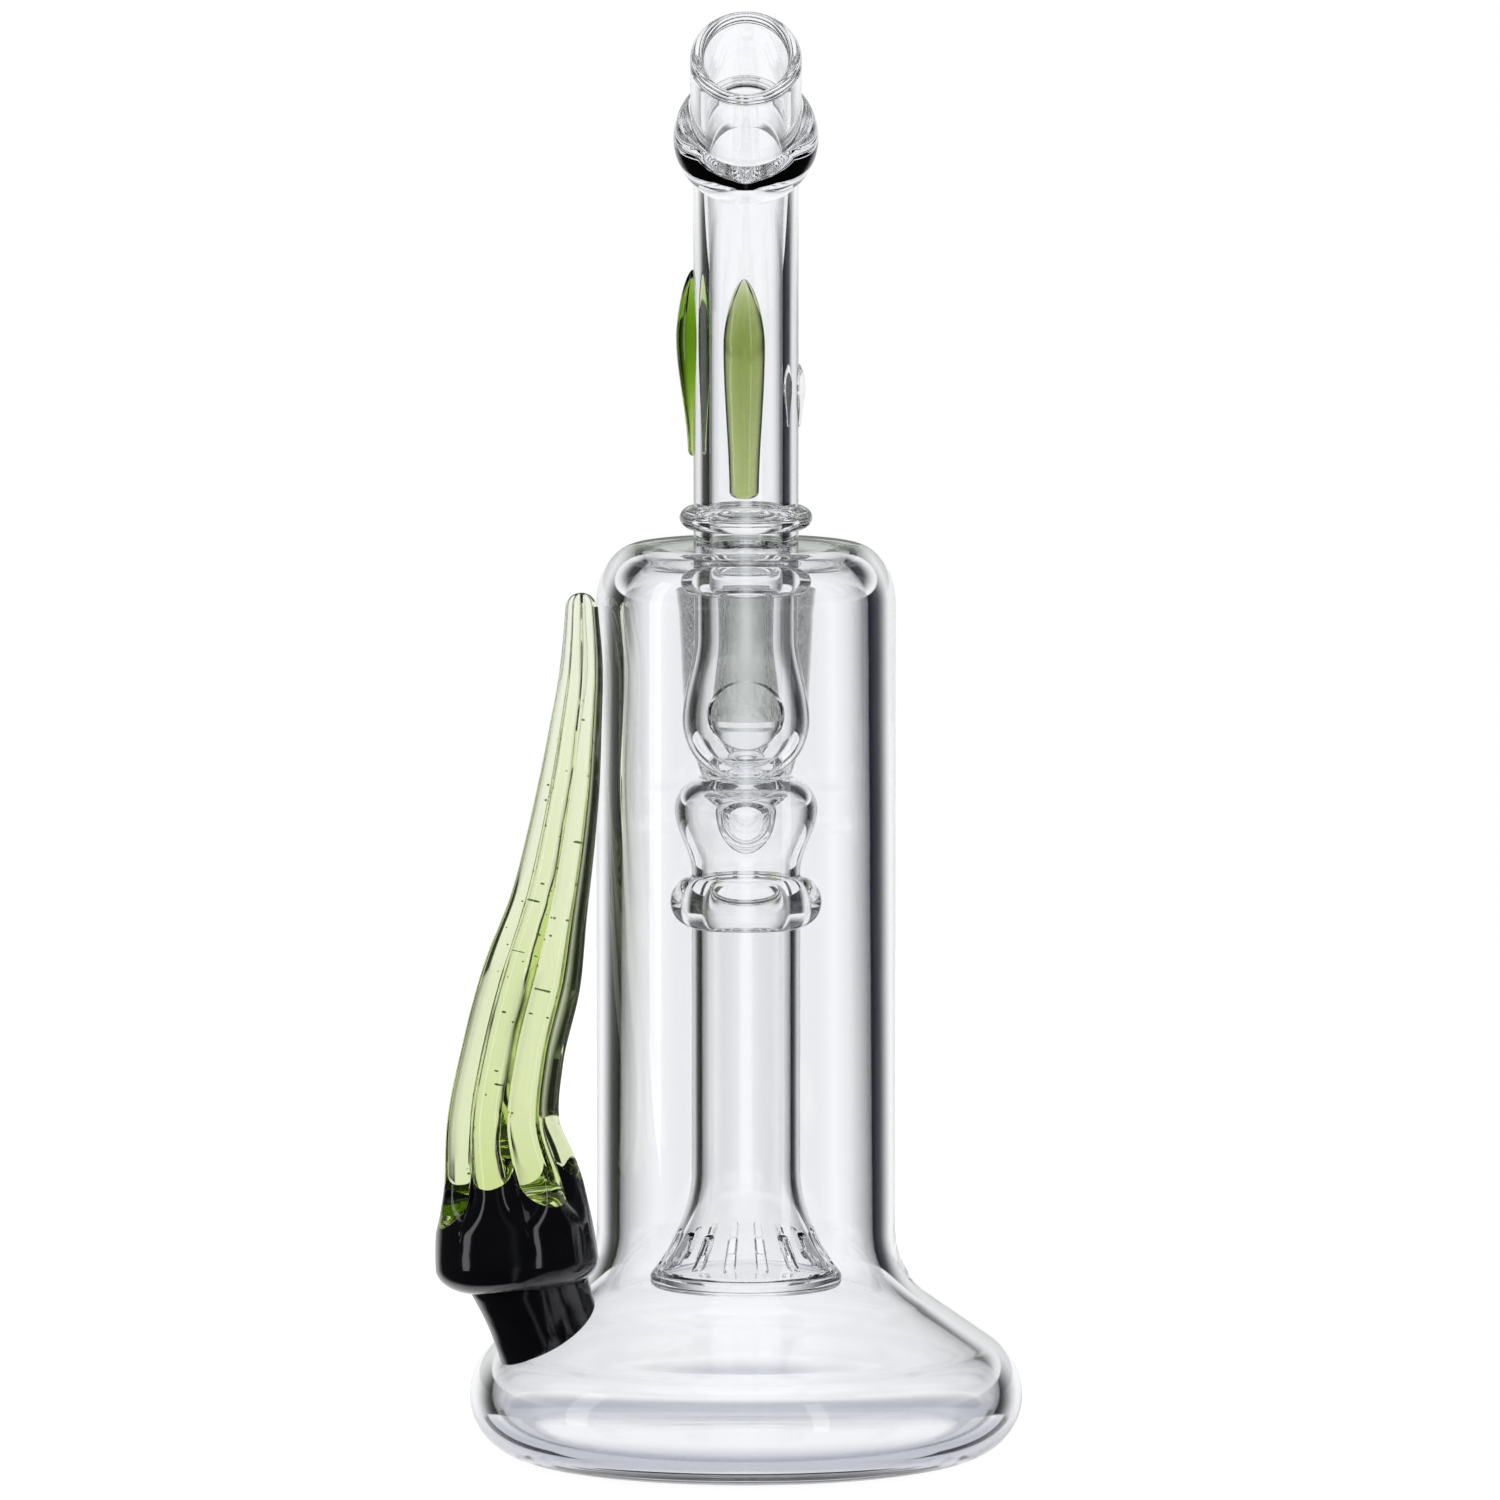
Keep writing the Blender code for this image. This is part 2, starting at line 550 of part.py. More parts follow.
floor_radius = rim_inner - FUSE_GAP
floor_top = SKIRT_BOTTOM + SHOWER_FLOOR_THICKNESS
inner_edge = np.interp(floor_top, [SKIRT_EDGE, skirt_side(0)[-2][1]], [SKIRT_RADIUS, skirt_side(0)[-2][0]])
turned("shower_floor", [(0.0, floor_top), (inner_edge - SKIRT_WALL - FUSE_GAP, floor_top),
                        (floor_radius, SKIRT_EDGE), (floor_radius, SKIRT_BOTTOM), (0.0, SKIRT_BOTTOM)],
       clear_glass("shower_floor"))

# Inlet tube, seal ring, elbow and ground joint
cut(can_body, rod_cutter("wall_hole", (0, CAN_BORE / 2, INLET_HEIGHT), (0, 2 * CAN_RADIUS, INLET_HEIGHT),
                         INLET_BORE_SEAT))
seal_start = CAN_RADIUS + FUSE_GAP
elbow_end = JOINT_Y - ELBOW_BEND_RADIUS
inlet_start = BULB_RADIUS - BULB_WALL
inlet_bore = INLET_RADIUS - INLET_WALL
inlet_length = elbow_end - ELBOW_END_RUN - FUSE_GAP - inlet_start
inlet_tube = turned("inlet_tube", [(INLET_RADIUS, inlet_length), (INLET_RADIUS, 0.0), (inlet_bore, 0.0),
                                   (inlet_bore, inlet_length)], clear_glass("inlet_tube"), TUBE_STEPS // 2)
inlet_tube.location = (0.0, inlet_start, INLET_HEIGHT)
seal_ring = ring("inlet_seal_ring", INLET_BORE_SEAT, SEAL_RING_RADIUS, SEAL_RING_LENGTH,
                 clear_glass("inlet_seal_ring"))
seal_ring.location = (0.0, seal_start + SEAL_RING_LENGTH / 2, INLET_HEIGHT)
for lying_piece in (inlet_tube, seal_ring):
    lying_piece.rotation_euler = (-math.pi / 2, 0.0, 0.0)


def elbow_rod(name, start_radius, end_radius, extra):
    """A rod round the elbow, from the joint down to the inlet tube."""
    centre = Vector((0, elbow_end, JOINT_FOOT))
    line = []
    radii = []
    for angle in np.linspace(0, math.pi / 2, ELBOW_POINTS):
        line.append(centre + ELBOW_BEND_RADIUS * Vector((0, math.cos(angle), -math.sin(angle))))
        radii.append(eased(start_radius, end_radius, angle / (math.pi / 2)))
    run = ELBOW_END_RUN + extra
    line = [line[0] + Vector((0, 0, run))] + line + [line[-1] - Vector((0, run, 0))]
    radii = [start_radius] + radii + [end_radius]
    return swept(name, line, radii, resolution=ELBOW_SIDES_RESOLUTION)


joint_elbow = as_part(elbow_rod("joint_elbow", ELBOW_RADIUS, INLET_RADIUS, 0.0), clear_glass("joint_elbow"))
cut(joint_elbow, as_cutter(elbow_rod("elbow_bore", ELBOW_RADIUS - ELBOW_WALL, inlet_bore, bore_reach)))

socket_foot = ELBOW_END_RUN + FUSE_GAP
socket_top = socket_foot + JOINT_LENGTH
bore_foot = JOINT_BORE_RADIUS - JOINT_TAPER * JOINT_LENGTH
rim_centre = (JOINT_RADIUS - JOINT_RIM_ROUND, socket_top - JOINT_RIM_ROUND)
socket_profile = [(JOINT_BORE_RADIUS, socket_top)]
socket_profile += arc(rim_centre, JOINT_RIM_ROUND, JOINT_RIM_ROUND, 90, 0, RIM_POINTS)
socket_profile += [(JOINT_BASE_RADIUS, socket_foot), (bore_foot, socket_foot)]
joint_socket = turned("joint_socket", socket_profile, ground_glass("joint_socket"))
joint_socket.location = (0.0, JOINT_Y, JOINT_FOOT)

# Horn: a fluted section carried down a curved line
def horn_place(height, radius, stand_off, turn_deg):
    """A point beside the can, at a height, clear of the wall by a stand-off."""
    reach = CAN_RADIUS + stand_off + radius
    turn = math.radians(turn_deg)
    return Vector((-reach * math.cos(turn), -reach * math.sin(turn), height))


flute_count = HORN_LOBES * HORN_LOBE_POINTS
flute_curve = bpy.data.curves.new("horn_section", "CURVE")
flute_curve.dimensions = "2D"
flute_spline = flute_curve.splines.new("POLY")
flute_spline.points.add(flute_count - 1)
flute_spline.use_cyclic_u = True
for index in range(flute_count):
    angle = 2 * math.pi * index / flute_count
    swell = 1 - HORN_FLUTE_DEPTH * (1 - abs(math.sin(HORN_LOBES * angle / 2)))
    flute_spline.points[index].co = (swell * math.cos(angle), swell * math.sin(angle), 0.0, 1.0)
horn_section = bpy.data.objects.new("horn_section", flute_curve)

horn_line = [horn_place(*station) for station in HORN_STATIONS]
horn_radii = [station[1] for station in HORN_STATIONS]
tip_way = (horn_line[0] - horn_line[1]).normalized()
tip_base = horn_line[0]
tip_radius = horn_radii[0]
for share in np.linspace(0, HORN_TIP_REACH, HORN_TIP_POINTS)[1:]:
    horn_line.insert(0, tip_base + tip_way * HORN_TIP_LENGTH * share)
    horn_radii.insert(0, tip_radius * math.sqrt(1 - share * share))
horn_tilts = list(np.linspace(0, HORN_TWIST, len(horn_line)))
horn_body = swept("horn_body", horn_line, horn_radii, section=horn_section, tilts=horn_tilts)
bpy.data.objects.remove(horn_section, do_unlink=True)
as_part(horn_body, green_glass("horn_body"))

# Black cuff under the horn, and its root on the slope of the foot
cuff_lean = math.sin(CUFF_SLOPE_OUT)
cuff_way = Vector((-cuff_lean, cuff_lean, math.cos(CUFF_SLOPE_OUT))).normalized()
horn_base_way = (horn_line[-2] - horn_line[-1]).normalized()
cuff_drop = FUSE_GAP + HORN_STATIONS[-1][1] * math.sin(cuff_way.angle(horn_base_way))
cuff_foot = horn_line[-1] - cuff_way * (cuff_drop + CUFF_LENGTH)


def cuff_side(offset):
    """The cuff from the middle of its top to the middle of its underside, moved out by an offset."""
    side = [(0.0, CUFF_LENGTH + offset), (CUFF_TOP_RADIUS + offset, CUFF_LENGTH + offset)]
    belly_run = CUFF_RADIUS - CUFF_UNDER_RADIUS + offset
    side += arc((CUFF_UNDER_RADIUS, CUFF_BELLY), belly_run, CUFF_BELLY + offset,
                CUFF_BELLY_TOP_DEG, -90, BULGE_POINTS)
    return side + [(0.0, -offset)]


def stand(obj, place, way):
    """Stands a turned piece at a place with its axis along a direction."""
    obj.location = place
    obj.rotation_mode = "QUATERNION"
    obj.rotation_quaternion = way.to_track_quat("Z", "Y")


horn_cuff = turned("horn_cuff", cuff_side(0.0), black_glass("horn_cuff"))
cuff_seat = turned("cuff_seat", cuff_side(FUSE_GAP))
for cuff_piece in (horn_cuff, cuff_seat):
    stand(cuff_piece, cuff_foot, cuff_way)

seat_reach = ROOT_SEAT_INSET - FOOT_RADIUS
seat_drop = (LIP_UPPER_RADIUS - ROOT_SEAT_INSET) * math.tan(FOOT_SLOPE)
seat_height = LIP_HEIGHT + LIP_UPPER_RADIUS / math.cos(FOOT_SLOPE) - seat_drop
seat_x = seat_reach * math.cos(ROOT_SEAT_TURN)
seat_y = seat_reach * math.sin(ROOT_SEAT_TURN)
root_seat = Vector((seat_x, seat_y, seat_height))
root_head = Vector(((cuff_foot.x + seat_x) / 2, (cuff_foot.y + seat_y) / 2, cuff_foot.z))
root_way = (root_head - root_seat).normalized()
root_length = (root_head - root_seat).length
root_top = root_length + ROOT_RADIUS
root_profile = [(0.0, root_top), (ROOT_TOP_RADIUS, root_top)]
for share in np.linspace(1, 0, ARC_POINTS):
    height = root_length * (ROOT_WAIST_SHARE + (1 - ROOT_WAIST_SHARE) * share)
    root_profile.append((ROOT_RADIUS + (ROOT_TOP_RADIUS - ROOT_RADIUS) * share * share, height))
root_profile += [(ROOT_RADIUS, -ROOT_RADIUS), (0.0, -ROOT_RADIUS)]
horn_root = turned("horn_root", root_profile, black_glass("horn_root"))
stand(horn_root, root_seat, root_way)
cut(horn_root, cuff_seat)
bell_seat_side = [(0.0, CAN_BOTTOM)] + [(CAN_RADIUS + FUSE_GAP, CAN_BOTTOM)] + bell_side(FUSE_GAP)
bell_seat = turned("bell_seat", bell_seat_side + [(0.0, -FUSE_GAP)], None, CAN_STEPS)
cut(horn_root, bell_seat)
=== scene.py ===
import math

import bmesh
import bpy
import numpy as np
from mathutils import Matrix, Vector


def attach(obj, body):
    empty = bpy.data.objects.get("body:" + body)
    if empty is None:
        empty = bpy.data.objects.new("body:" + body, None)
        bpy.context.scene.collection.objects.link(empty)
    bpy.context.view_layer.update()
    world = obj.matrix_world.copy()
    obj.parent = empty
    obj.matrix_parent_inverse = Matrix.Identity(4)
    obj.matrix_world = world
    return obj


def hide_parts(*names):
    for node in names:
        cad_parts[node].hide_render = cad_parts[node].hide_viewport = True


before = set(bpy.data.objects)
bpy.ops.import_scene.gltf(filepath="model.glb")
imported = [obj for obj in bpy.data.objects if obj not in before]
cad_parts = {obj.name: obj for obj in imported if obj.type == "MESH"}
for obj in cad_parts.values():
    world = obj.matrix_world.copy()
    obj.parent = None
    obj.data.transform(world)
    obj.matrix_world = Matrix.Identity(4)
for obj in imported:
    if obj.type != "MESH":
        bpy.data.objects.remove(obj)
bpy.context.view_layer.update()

# Camera: a long lens well away from the pipe, looking down on it by a few degrees.
# It is aimed along +Y at the middle of the pipe, with no shift and no depth of field.
CAMERA_TARGET = Vector((0.00056, 0.0, 0.0993))
CAMERA_DISTANCE = 2.5
CAMERA_RISE = math.radians(6.2)
FRAME_WIDTH = 0.2098
SENSOR_MM = 36.0
camera_data = bpy.data.cameras.new("camera")
camera_data.sensor_width = SENSOR_MM
camera_data.lens = SENSOR_MM * CAMERA_DISTANCE / FRAME_WIDTH
camera = bpy.data.objects.new("camera", camera_data)
away = Vector((0.0, -math.cos(CAMERA_RISE), math.sin(CAMERA_RISE)))
camera.location = CAMERA_TARGET + CAMERA_DISTANCE * away
camera.rotation_euler = away.to_track_quat("Z", "Y").to_euler()
scene = bpy.context.scene
scene.collection.objects.link(camera)
scene.camera = camera
scene.view_settings.view_transform = "Standard"
# Light crosses many walls of clear glass, so paths run longer than usual.
scene.cycles.max_bounces = 40
scene.cycles.transmission_bounces = 36
scene.cycles.glossy_bounces = 16
scene.cycles.transparent_max_bounces = 24

# Studio: a white surround with dark flags to both sides, which draw the dark lines in clear glass.
# Lamps are two tall strips in front and a soft box above, and the floor is a plain pale disc.
FLAG_LEFT = (0.016, 0.020, 0.014)
FLAG_RIGHT = (0.010, 0.011, 0.020)
FLAG_ABOVE = (0.05, 0.053, 0.058)
ROOM_FRONT = (0.030, 0.031, 0.036)
ROOM_BACK = (0.33, 0.36, 0.31)
WHITE = (1.0, 1.0, 1.0)
BACKDROP = (0.975, 0.98, 1.0)
ROOM_FILL = (0.95, 0.97, 1.0)
ROOM_FILL_STRENGTH = 0.55
# Angles in degrees: a band is its start, end and softness, an edge is where a step starts and ends.
EYE_LEVEL_BAND = (-14.3, 8.0, 0.7)
FLAG_EDGE = (8.0, 38.0)
FLAG_CHANGE = (-4.0, 4.0)
BACK_EDGE = (60.0, 70.0)
BACK_QUARTER_EDGE = (10.0, 20.0)
SIDE_QUARTER_EDGE = (72.0, 82.0)
SPOKE_TURN = 22.5
SPOKE_EDGE = (16.0, 19.0)
SPOKE_BAND = (-38.0, -14.3, 1.0)
HIGH_BAND = (14.0, 64.0, 5.0)
HIGH_EDGE = (10.0, 20.0)
MIRROR_HORIZON = (0.5, 3.0)
MIRROR_FRONT = (40.0, 181.0, 12.0)
world = bpy.data.worlds.new("studio")
world.use_nodes = True
scene.world = world
tree = world.node_tree
tree.nodes.clear()


def math_node(nodes, links, operation, first, second=None):
    """One math node with a socket or a number at each input."""
    node = nodes.new("ShaderNodeMath")
    node.operation = operation
    for index, value in enumerate((first, second)):
        if value is None:
            continue
        if isinstance(value, (int, float)):
            node.inputs[index].default_value = value
        else:
            links.new(value, node.inputs[index])
    return node.outputs[0]


def studio_step(value, start, end):
    """Smooth step of an angle, given in degrees, between start and end."""
    node = tree.nodes.new("ShaderNodeMapRange")
    node.interpolation_type = "SMOOTHSTEP"
    node.inputs["From Min"].default_value = math.radians(start)
    node.inputs["From Max"].default_value = math.radians(end)
    tree.links.new(value, node.inputs["Value"])
    return node.outputs["Result"]


def studio_band(value, start, end, soft):
    """One between two angles and nought outside them, with soft edges."""
    rise = studio_step(value, start - soft, start + soft)
    fall = studio_step(value, end - soft, end + soft)
    return math_node(tree.nodes, tree.links, "SUBTRACT", rise, fall)


def studio_mix(factor, under, over):
    """Mixes two studio colours by a factor."""
    node = tree.nodes.new("ShaderNodeMix")
    node.data_type = "RGBA"
    for socket, value in ((node.inputs[0], factor), (node.inputs[6], under), (node.inputs[7], over)):
        if isinstance(value, tuple):
            socket.default_value = (*value, 1.0)
        else:
            tree.links.new(value, socket)
    return node.outputs[2]


def both(first, second):
    """Product of two factors."""
    return math_node(tree.nodes, tree.links, "MULTIPLY", first, second)


direction = tree.nodes.new("ShaderNodeTexCoord")
parts_of = tree.nodes.new("ShaderNodeSeparateXYZ")
tree.links.new(direction.outputs["Generated"], parts_of.inputs[0])
azimuth = math_node(tree.nodes, tree.links, "ARCTAN2", parts_of.outputs["X"], parts_of.outputs["Y"])
elevation = math_node(tree.nodes, tree.links, "ARCSINE", parts_of.outputs["Z"])
off_axis = math_node(tree.nodes, tree.links, "ABSOLUTE", azimuth)
eye_level = studio_band(elevation, *EYE_LEVEL_BAND)
to_right = studio_step(azimuth, *FLAG_EDGE)
leftward = math_node(tree.nodes, tree.links, "MULTIPLY", azimuth, -1.0)
to_left = studio_step(leftward, *FLAG_EDGE)
quarter = math_node(tree.nodes, tree.links, "PINGPONG", off_axis, math.radians(90))
at_back = studio_step(off_axis, *BACK_EDGE)
far_side = both(at_back, studio_step(quarter, *BACK_QUARTER_EDGE))
side_on = both(at_back, studio_step(quarter, *SIDE_QUARTER_EDGE))
flag = studio_mix(studio_step(azimuth, *FLAG_CHANGE), FLAG_LEFT, FLAG_RIGHT)
through = studio_mix(both(eye_level, to_right), BACKDROP, flag)
through = studio_mix(both(eye_level, to_left), through, flag)
through = studio_mix(both(eye_level, side_on), through, BACKDROP)
behind = math_node(tree.nodes, tree.links, "SUBTRACT", at_back, far_side)
through = studio_mix(both(eye_level, behind), through, BACKDROP)
eighth = math_node(tree.nodes, tree.links, "PINGPONG", off_axis, math.radians(SPOKE_TURN))
looking_down = studio_band(elevation, *SPOKE_BAND)
through = studio_mix(both(looking_down, studio_step(eighth, *SPOKE_EDGE)), through, FLAG_LEFT)
high_up = both(studio_band(elevation, *HIGH_BAND), studio_step(off_axis, *HIGH_EDGE))
through = studio_mix(high_up, through, FLAG_ABOVE)
mirrored = studio_mix(studio_step(elevation, *MIRROR_HORIZON), WHITE, ROOM_BACK)
mirrored = studio_mix(studio_band(off_axis, *MIRROR_FRONT), mirrored, ROOM_FRONT)

light_path = tree.nodes.new("ShaderNodeLightPath")
seen = studio_mix(light_path.outputs["Is Glossy Ray"], WHITE, mirrored)
seen = studio_mix(light_path.outputs["Is Transmission Ray"], seen, through)
shown = math_node(tree.nodes, tree.links, "MAXIMUM", light_path.outputs["Is Camera Ray"],
                  light_path.outputs["Is Glossy Ray"])
shown = math_node(tree.nodes, tree.links, "MAXIMUM", shown, light_path.outputs["Is Transmission Ray"])
room_fill = tree.nodes.new("ShaderNodeBackground")
room_fill.inputs["Color"].default_value = (*ROOM_FILL, 1.0)
room_fill.inputs["Strength"].default_value = ROOM_FILL_STRENGTH
surround = tree.nodes.new("ShaderNodeBackground")
tree.links.new(seen, surround.inputs["Color"])
surround.inputs["Strength"].default_value = 1.0
choose = tree.nodes.new("ShaderNodeMixShader")
tree.links.new(shown, choose.inputs[0])
tree.links.new(room_fill.outputs[0], choose.inputs[1])
tree.links.new(surround.outputs[0], choose.inputs[2])
world_out = tree.nodes.new("ShaderNodeOutputWorld")
tree.links.new(choose.outputs[0], world_out.inputs["Surface"])

LAMP_DISTANCE = 1.3
LAMP_TARGET = Vector((0.0, 0.0, 0.08))
for lamp_name, turn_deg, rise_deg, width, height, watts in (
    ("left_strip", -106, 12, 0.26, 1.1, 2.0),
    ("right_strip", 149, 12, 0.16, 1.1, 1.3),
    ("soft_box", 180, 72, 0.8, 0.8, 2.0),
):
    lamp_data = bpy.data.lights.new(lamp_name, "AREA")
    lamp_data.shape = "RECTANGLE"
    lamp_data.size = width
    lamp_data.size_y = height
    lamp_data.energy = watts
    lamp = bpy.data.objects.new(lamp_name, lamp_data)
    turn = math.radians(turn_deg)
    rise = math.radians(rise_deg)
    lamp_way = Vector((math.sin(turn) * math.cos(rise), math.cos(turn) * math.cos(rise), math.sin(rise)))
    lamp.location = LAMP_TARGET + LAMP_DISTANCE * lamp_way
    lamp.rotation_euler = lamp_way.to_track_quat("Z", "Y").to_euler()
    lamp.visible_camera = False
    lamp.visible_transmission = False
    scene.collection.objects.link(lamp)

FLOOR_RADIUS = 0.6
FLOOR_HEIGHT = -0.0003
FLOOR_SIDES = 96
FLOOR_GLOW = 0.93
PAPER_GREY = (0.35, 0.35, 0.36)
floor_mesh = bpy.data.meshes.new("studio_floor")
floor_turn = np.linspace(0, 2 * np.pi, FLOOR_SIDES, endpoint=False)
floor_rim = np.stack([FLOOR_RADIUS * np.cos(floor_turn), FLOOR_RADIUS * np.sin(floor_turn),
                      np.full(FLOOR_SIDES, FLOOR_HEIGHT)], axis=1)
floor_mesh.from_pydata(floor_rim.tolist(), [], [list(range(FLOOR_SIDES))])
floor = bpy.data.objects.new("studio_floor", floor_mesh)
scene.collection.objects.link(floor)
paper = bpy.data.materials.new("studio_paper")
paper.use_nodes = True
paper_nodes = paper.node_tree.nodes
paper_links = paper.node_tree.links
paper_nodes.clear()
paper_path = paper_nodes.new("ShaderNodeLightPath")
paper_matt = paper_nodes.new("ShaderNodeBsdfDiffuse")
paper_matt.inputs["Color"].default_value = (*PAPER_GREY, 1.0)
paper_glow = paper_nodes.new("ShaderNodeEmission")
paper_glow.inputs["Strength"].default_value = FLOOR_GLOW
paper_lit = paper_nodes.new("ShaderNodeAddShader")
paper_links.new(paper_matt.outputs[0], paper_lit.inputs[0])
paper_links.new(paper_glow.outputs[0], paper_lit.inputs[1])
paper_seen = paper_nodes.new("ShaderNodeMixShader")
paper_links.new(paper_path.outputs["Is Camera Ray"], paper_seen.inputs[0])
paper_links.new(paper_matt.outputs[0], paper_seen.inputs[1])
paper_links.new(paper_lit.outputs[0], paper_seen.inputs[2])
paper_clear = paper_nodes.new("ShaderNodeBsdfTransparent")
paper_let = math_node(paper_nodes, paper_links, "MAXIMUM", paper_path.outputs["Is Glossy Ray"],
                      paper_path.outputs["Is Transmission Ray"])
paper_mix = paper_nodes.new("ShaderNodeMixShader")
paper_links.new(paper_let, paper_mix.inputs[0])
paper_links.new(paper_seen.outputs[0], paper_mix.inputs[1])
paper_links.new(paper_clear.outputs[0], paper_mix.inputs[2])
paper_out = paper_nodes.new("ShaderNodeOutputMaterial")
paper_links.new(paper_mix.outputs[0], paper_out.inputs["Surface"])
floor_mesh.materials.append(paper)

# Can and foot: one blown borosilicate body, a straight tube drawn out to a bell foot with a closed floor.
# The deck is worked flat round the neck, and the wall is pierced at the back for the inlet tube.
MM = 0.001
CAN_RADIUS = 20.95
CAN_BORE = 17.12
DECK_TOP = 128.2
DECK_UNDER = 126.2
SHOULDER_RUN = 5.7
SHOULDER_DROP = 8.5
FOOT_RADIUS = 38.8
FOOT_FILLET = 12.0
FOOT_WALL = 3.2
FLOOR_TOP = FOOT_WALL
FLOOR_DOME = 0.5
UNDERSIDE_DOME = 0.7
LIP_UPPER = 9.5
LIP_LOWER = 8.4
FOOT_SLOPE = math.radians(34.6)
NECK_RADIUS = 7.35
INLET_HEIGHT = 88.7
INLET_RADIUS = 3.9
HOLE_REACH = 4.0
FUSED = 0.03
CREASE = math.radians(40)
GLASS_IOR = 1.474
CLEAR_TINT = (0.992, 0.994, 0.998)
# Painted shade: the colour that clear glass turns to where it is seen edge on, for its dark edge lines.
CLEAR_EDGE_SHADE = (0.82, 0.85, 0.86)
EDGE_BLEND = 0.35
EDGE_POWER = 3.0
WAVE_DEPTH = 0.002
# Painted reflection: a lavender grey mixed into the body glass's colour at the foot's lip, for the darker
# surroundings seen in it. It is full below one height and gone above another, between an inner and an outer
# radius.
LIP_PAINTED_REFLECTION = (0.58, 0.59, 0.65)
LIP_REFLECTION_FULL = 4.5
LIP_REFLECTION_TOP = 7.0
LIP_REFLECTION_INNER = 28.0
LIP_REFLECTION_OUTER = 31.0


def arc(centre, run, rise, start_deg, end_deg, count=20):
    """Elliptical arc in the profile plane: centre + (run cos a, rise sin a)."""
    a = np.radians(np.linspace(start_deg, end_deg, count))
    return np.stack([centre[0] + run * np.cos(a), centre[1] + rise * np.sin(a)], axis=1)


def line(start, end, count=12):
    """Evenly spaced points on a straight line in the profile plane."""
    return np.linspace(start, end, count)


def spun(profile, sides=128, centre=(0.0, 0.0)):
    """Surface of revolution: profile point (r, z) goes to (r cos u, r sin u, z) about an upright axis."""
    u = np.linspace(0, 2 * np.pi, sides, endpoint=False)
    r, z = np.asarray(profile, dtype=float).T
    x = centre[0] + r[:, None] * np.cos(u)
    y = centre[1] + r[:, None] * np.sin(u)
    return np.stack([x, y, np.broadcast_to(z[:, None], x.shape)], axis=2)


def skin(name, grids, wrap=False):
    """Skins grids of points in mm: rows run down the outside and up the inside, columns go round."""
    points, quads, start = [], [], 0
    for grid in grids:
        rows, cols = grid.shape[:2]
        index = start + np.arange(rows * cols).reshape(rows, cols)
        if wrap:
            index = np.vstack([index, index[:1]])
        upper, lower = index[:-1], index[1:]
        quad = np.stack([upper, lower, np.roll(lower, -1, axis=1), np.roll(upper, -1, axis=1)], axis=2)
        points.append(grid.reshape(-1, 3))
        quads.append(quad.reshape(-1, 4))
        start += rows * cols
    mesh = bpy.data.meshes.new(name)
    mesh.from_pydata((np.vstack(points) * MM).tolist(), [], np.vstack(quads).tolist())
    bm = bmesh.new()
    bm.from_mesh(mesh)
    bmesh.ops.remove_doubles(bm, verts=bm.verts, dist=1e-7)
    bm.to_mesh(mesh)
    bm.free()
    mesh.shade_smooth()
    mesh.set_sharp_from_angle(angle=CREASE)
    obj = bpy.data.objects.new(name, mesh)
    scene.collection.objects.link(obj)
    return obj


def pierce(obj, cutters):
    """Takes the cutters' space out of a piece and leaves plain mesh data behind."""
    for cutter in cutters:
        hole = obj.modifiers.new(cutter.name, "BOOLEAN")
        hole.operation = "DIFFERENCE"
        hole.solver = "EXACT"
        hole.object = cutter
    bpy.context.view_layer.update()
    whole = obj.evaluated_get(bpy.context.evaluated_depsgraph_get())
    mesh = bpy.data.meshes.new_from_object(whole)
    obj.modifiers.clear()
    obj.data = mesh
    mesh.name = obj.name
    mesh.shade_smooth()
    mesh.set_sharp_from_angle(angle=CREASE)
    for cutter in cutters:
        bpy.data.objects.remove(cutter, do_unlink=True)


def rod(name, start, end, radius, sides=64):
    """Round bar between two points: circles of one radius, closed at both ends."""
    start, end = np.asarray(start, dtype=float), np.asarray(end, dtype=float)
    way = (end - start) / np.linalg.norm(end - start)
    across = np.cross(way, [1.0, 0.0, 0.0])
    across /= np.linalg.norm(across)
    beside = np.cross(way, across)
    u = np.linspace(0, 2 * np.pi, sides, endpoint=False)[:, None]
    circle = across * np.cos(u) + beside * np.sin(u)
    rows = [end + 0 * circle, end + radius * circle, start + radius * circle, start + 0 * circle]
    return skin(name, [np.stack(rows)])


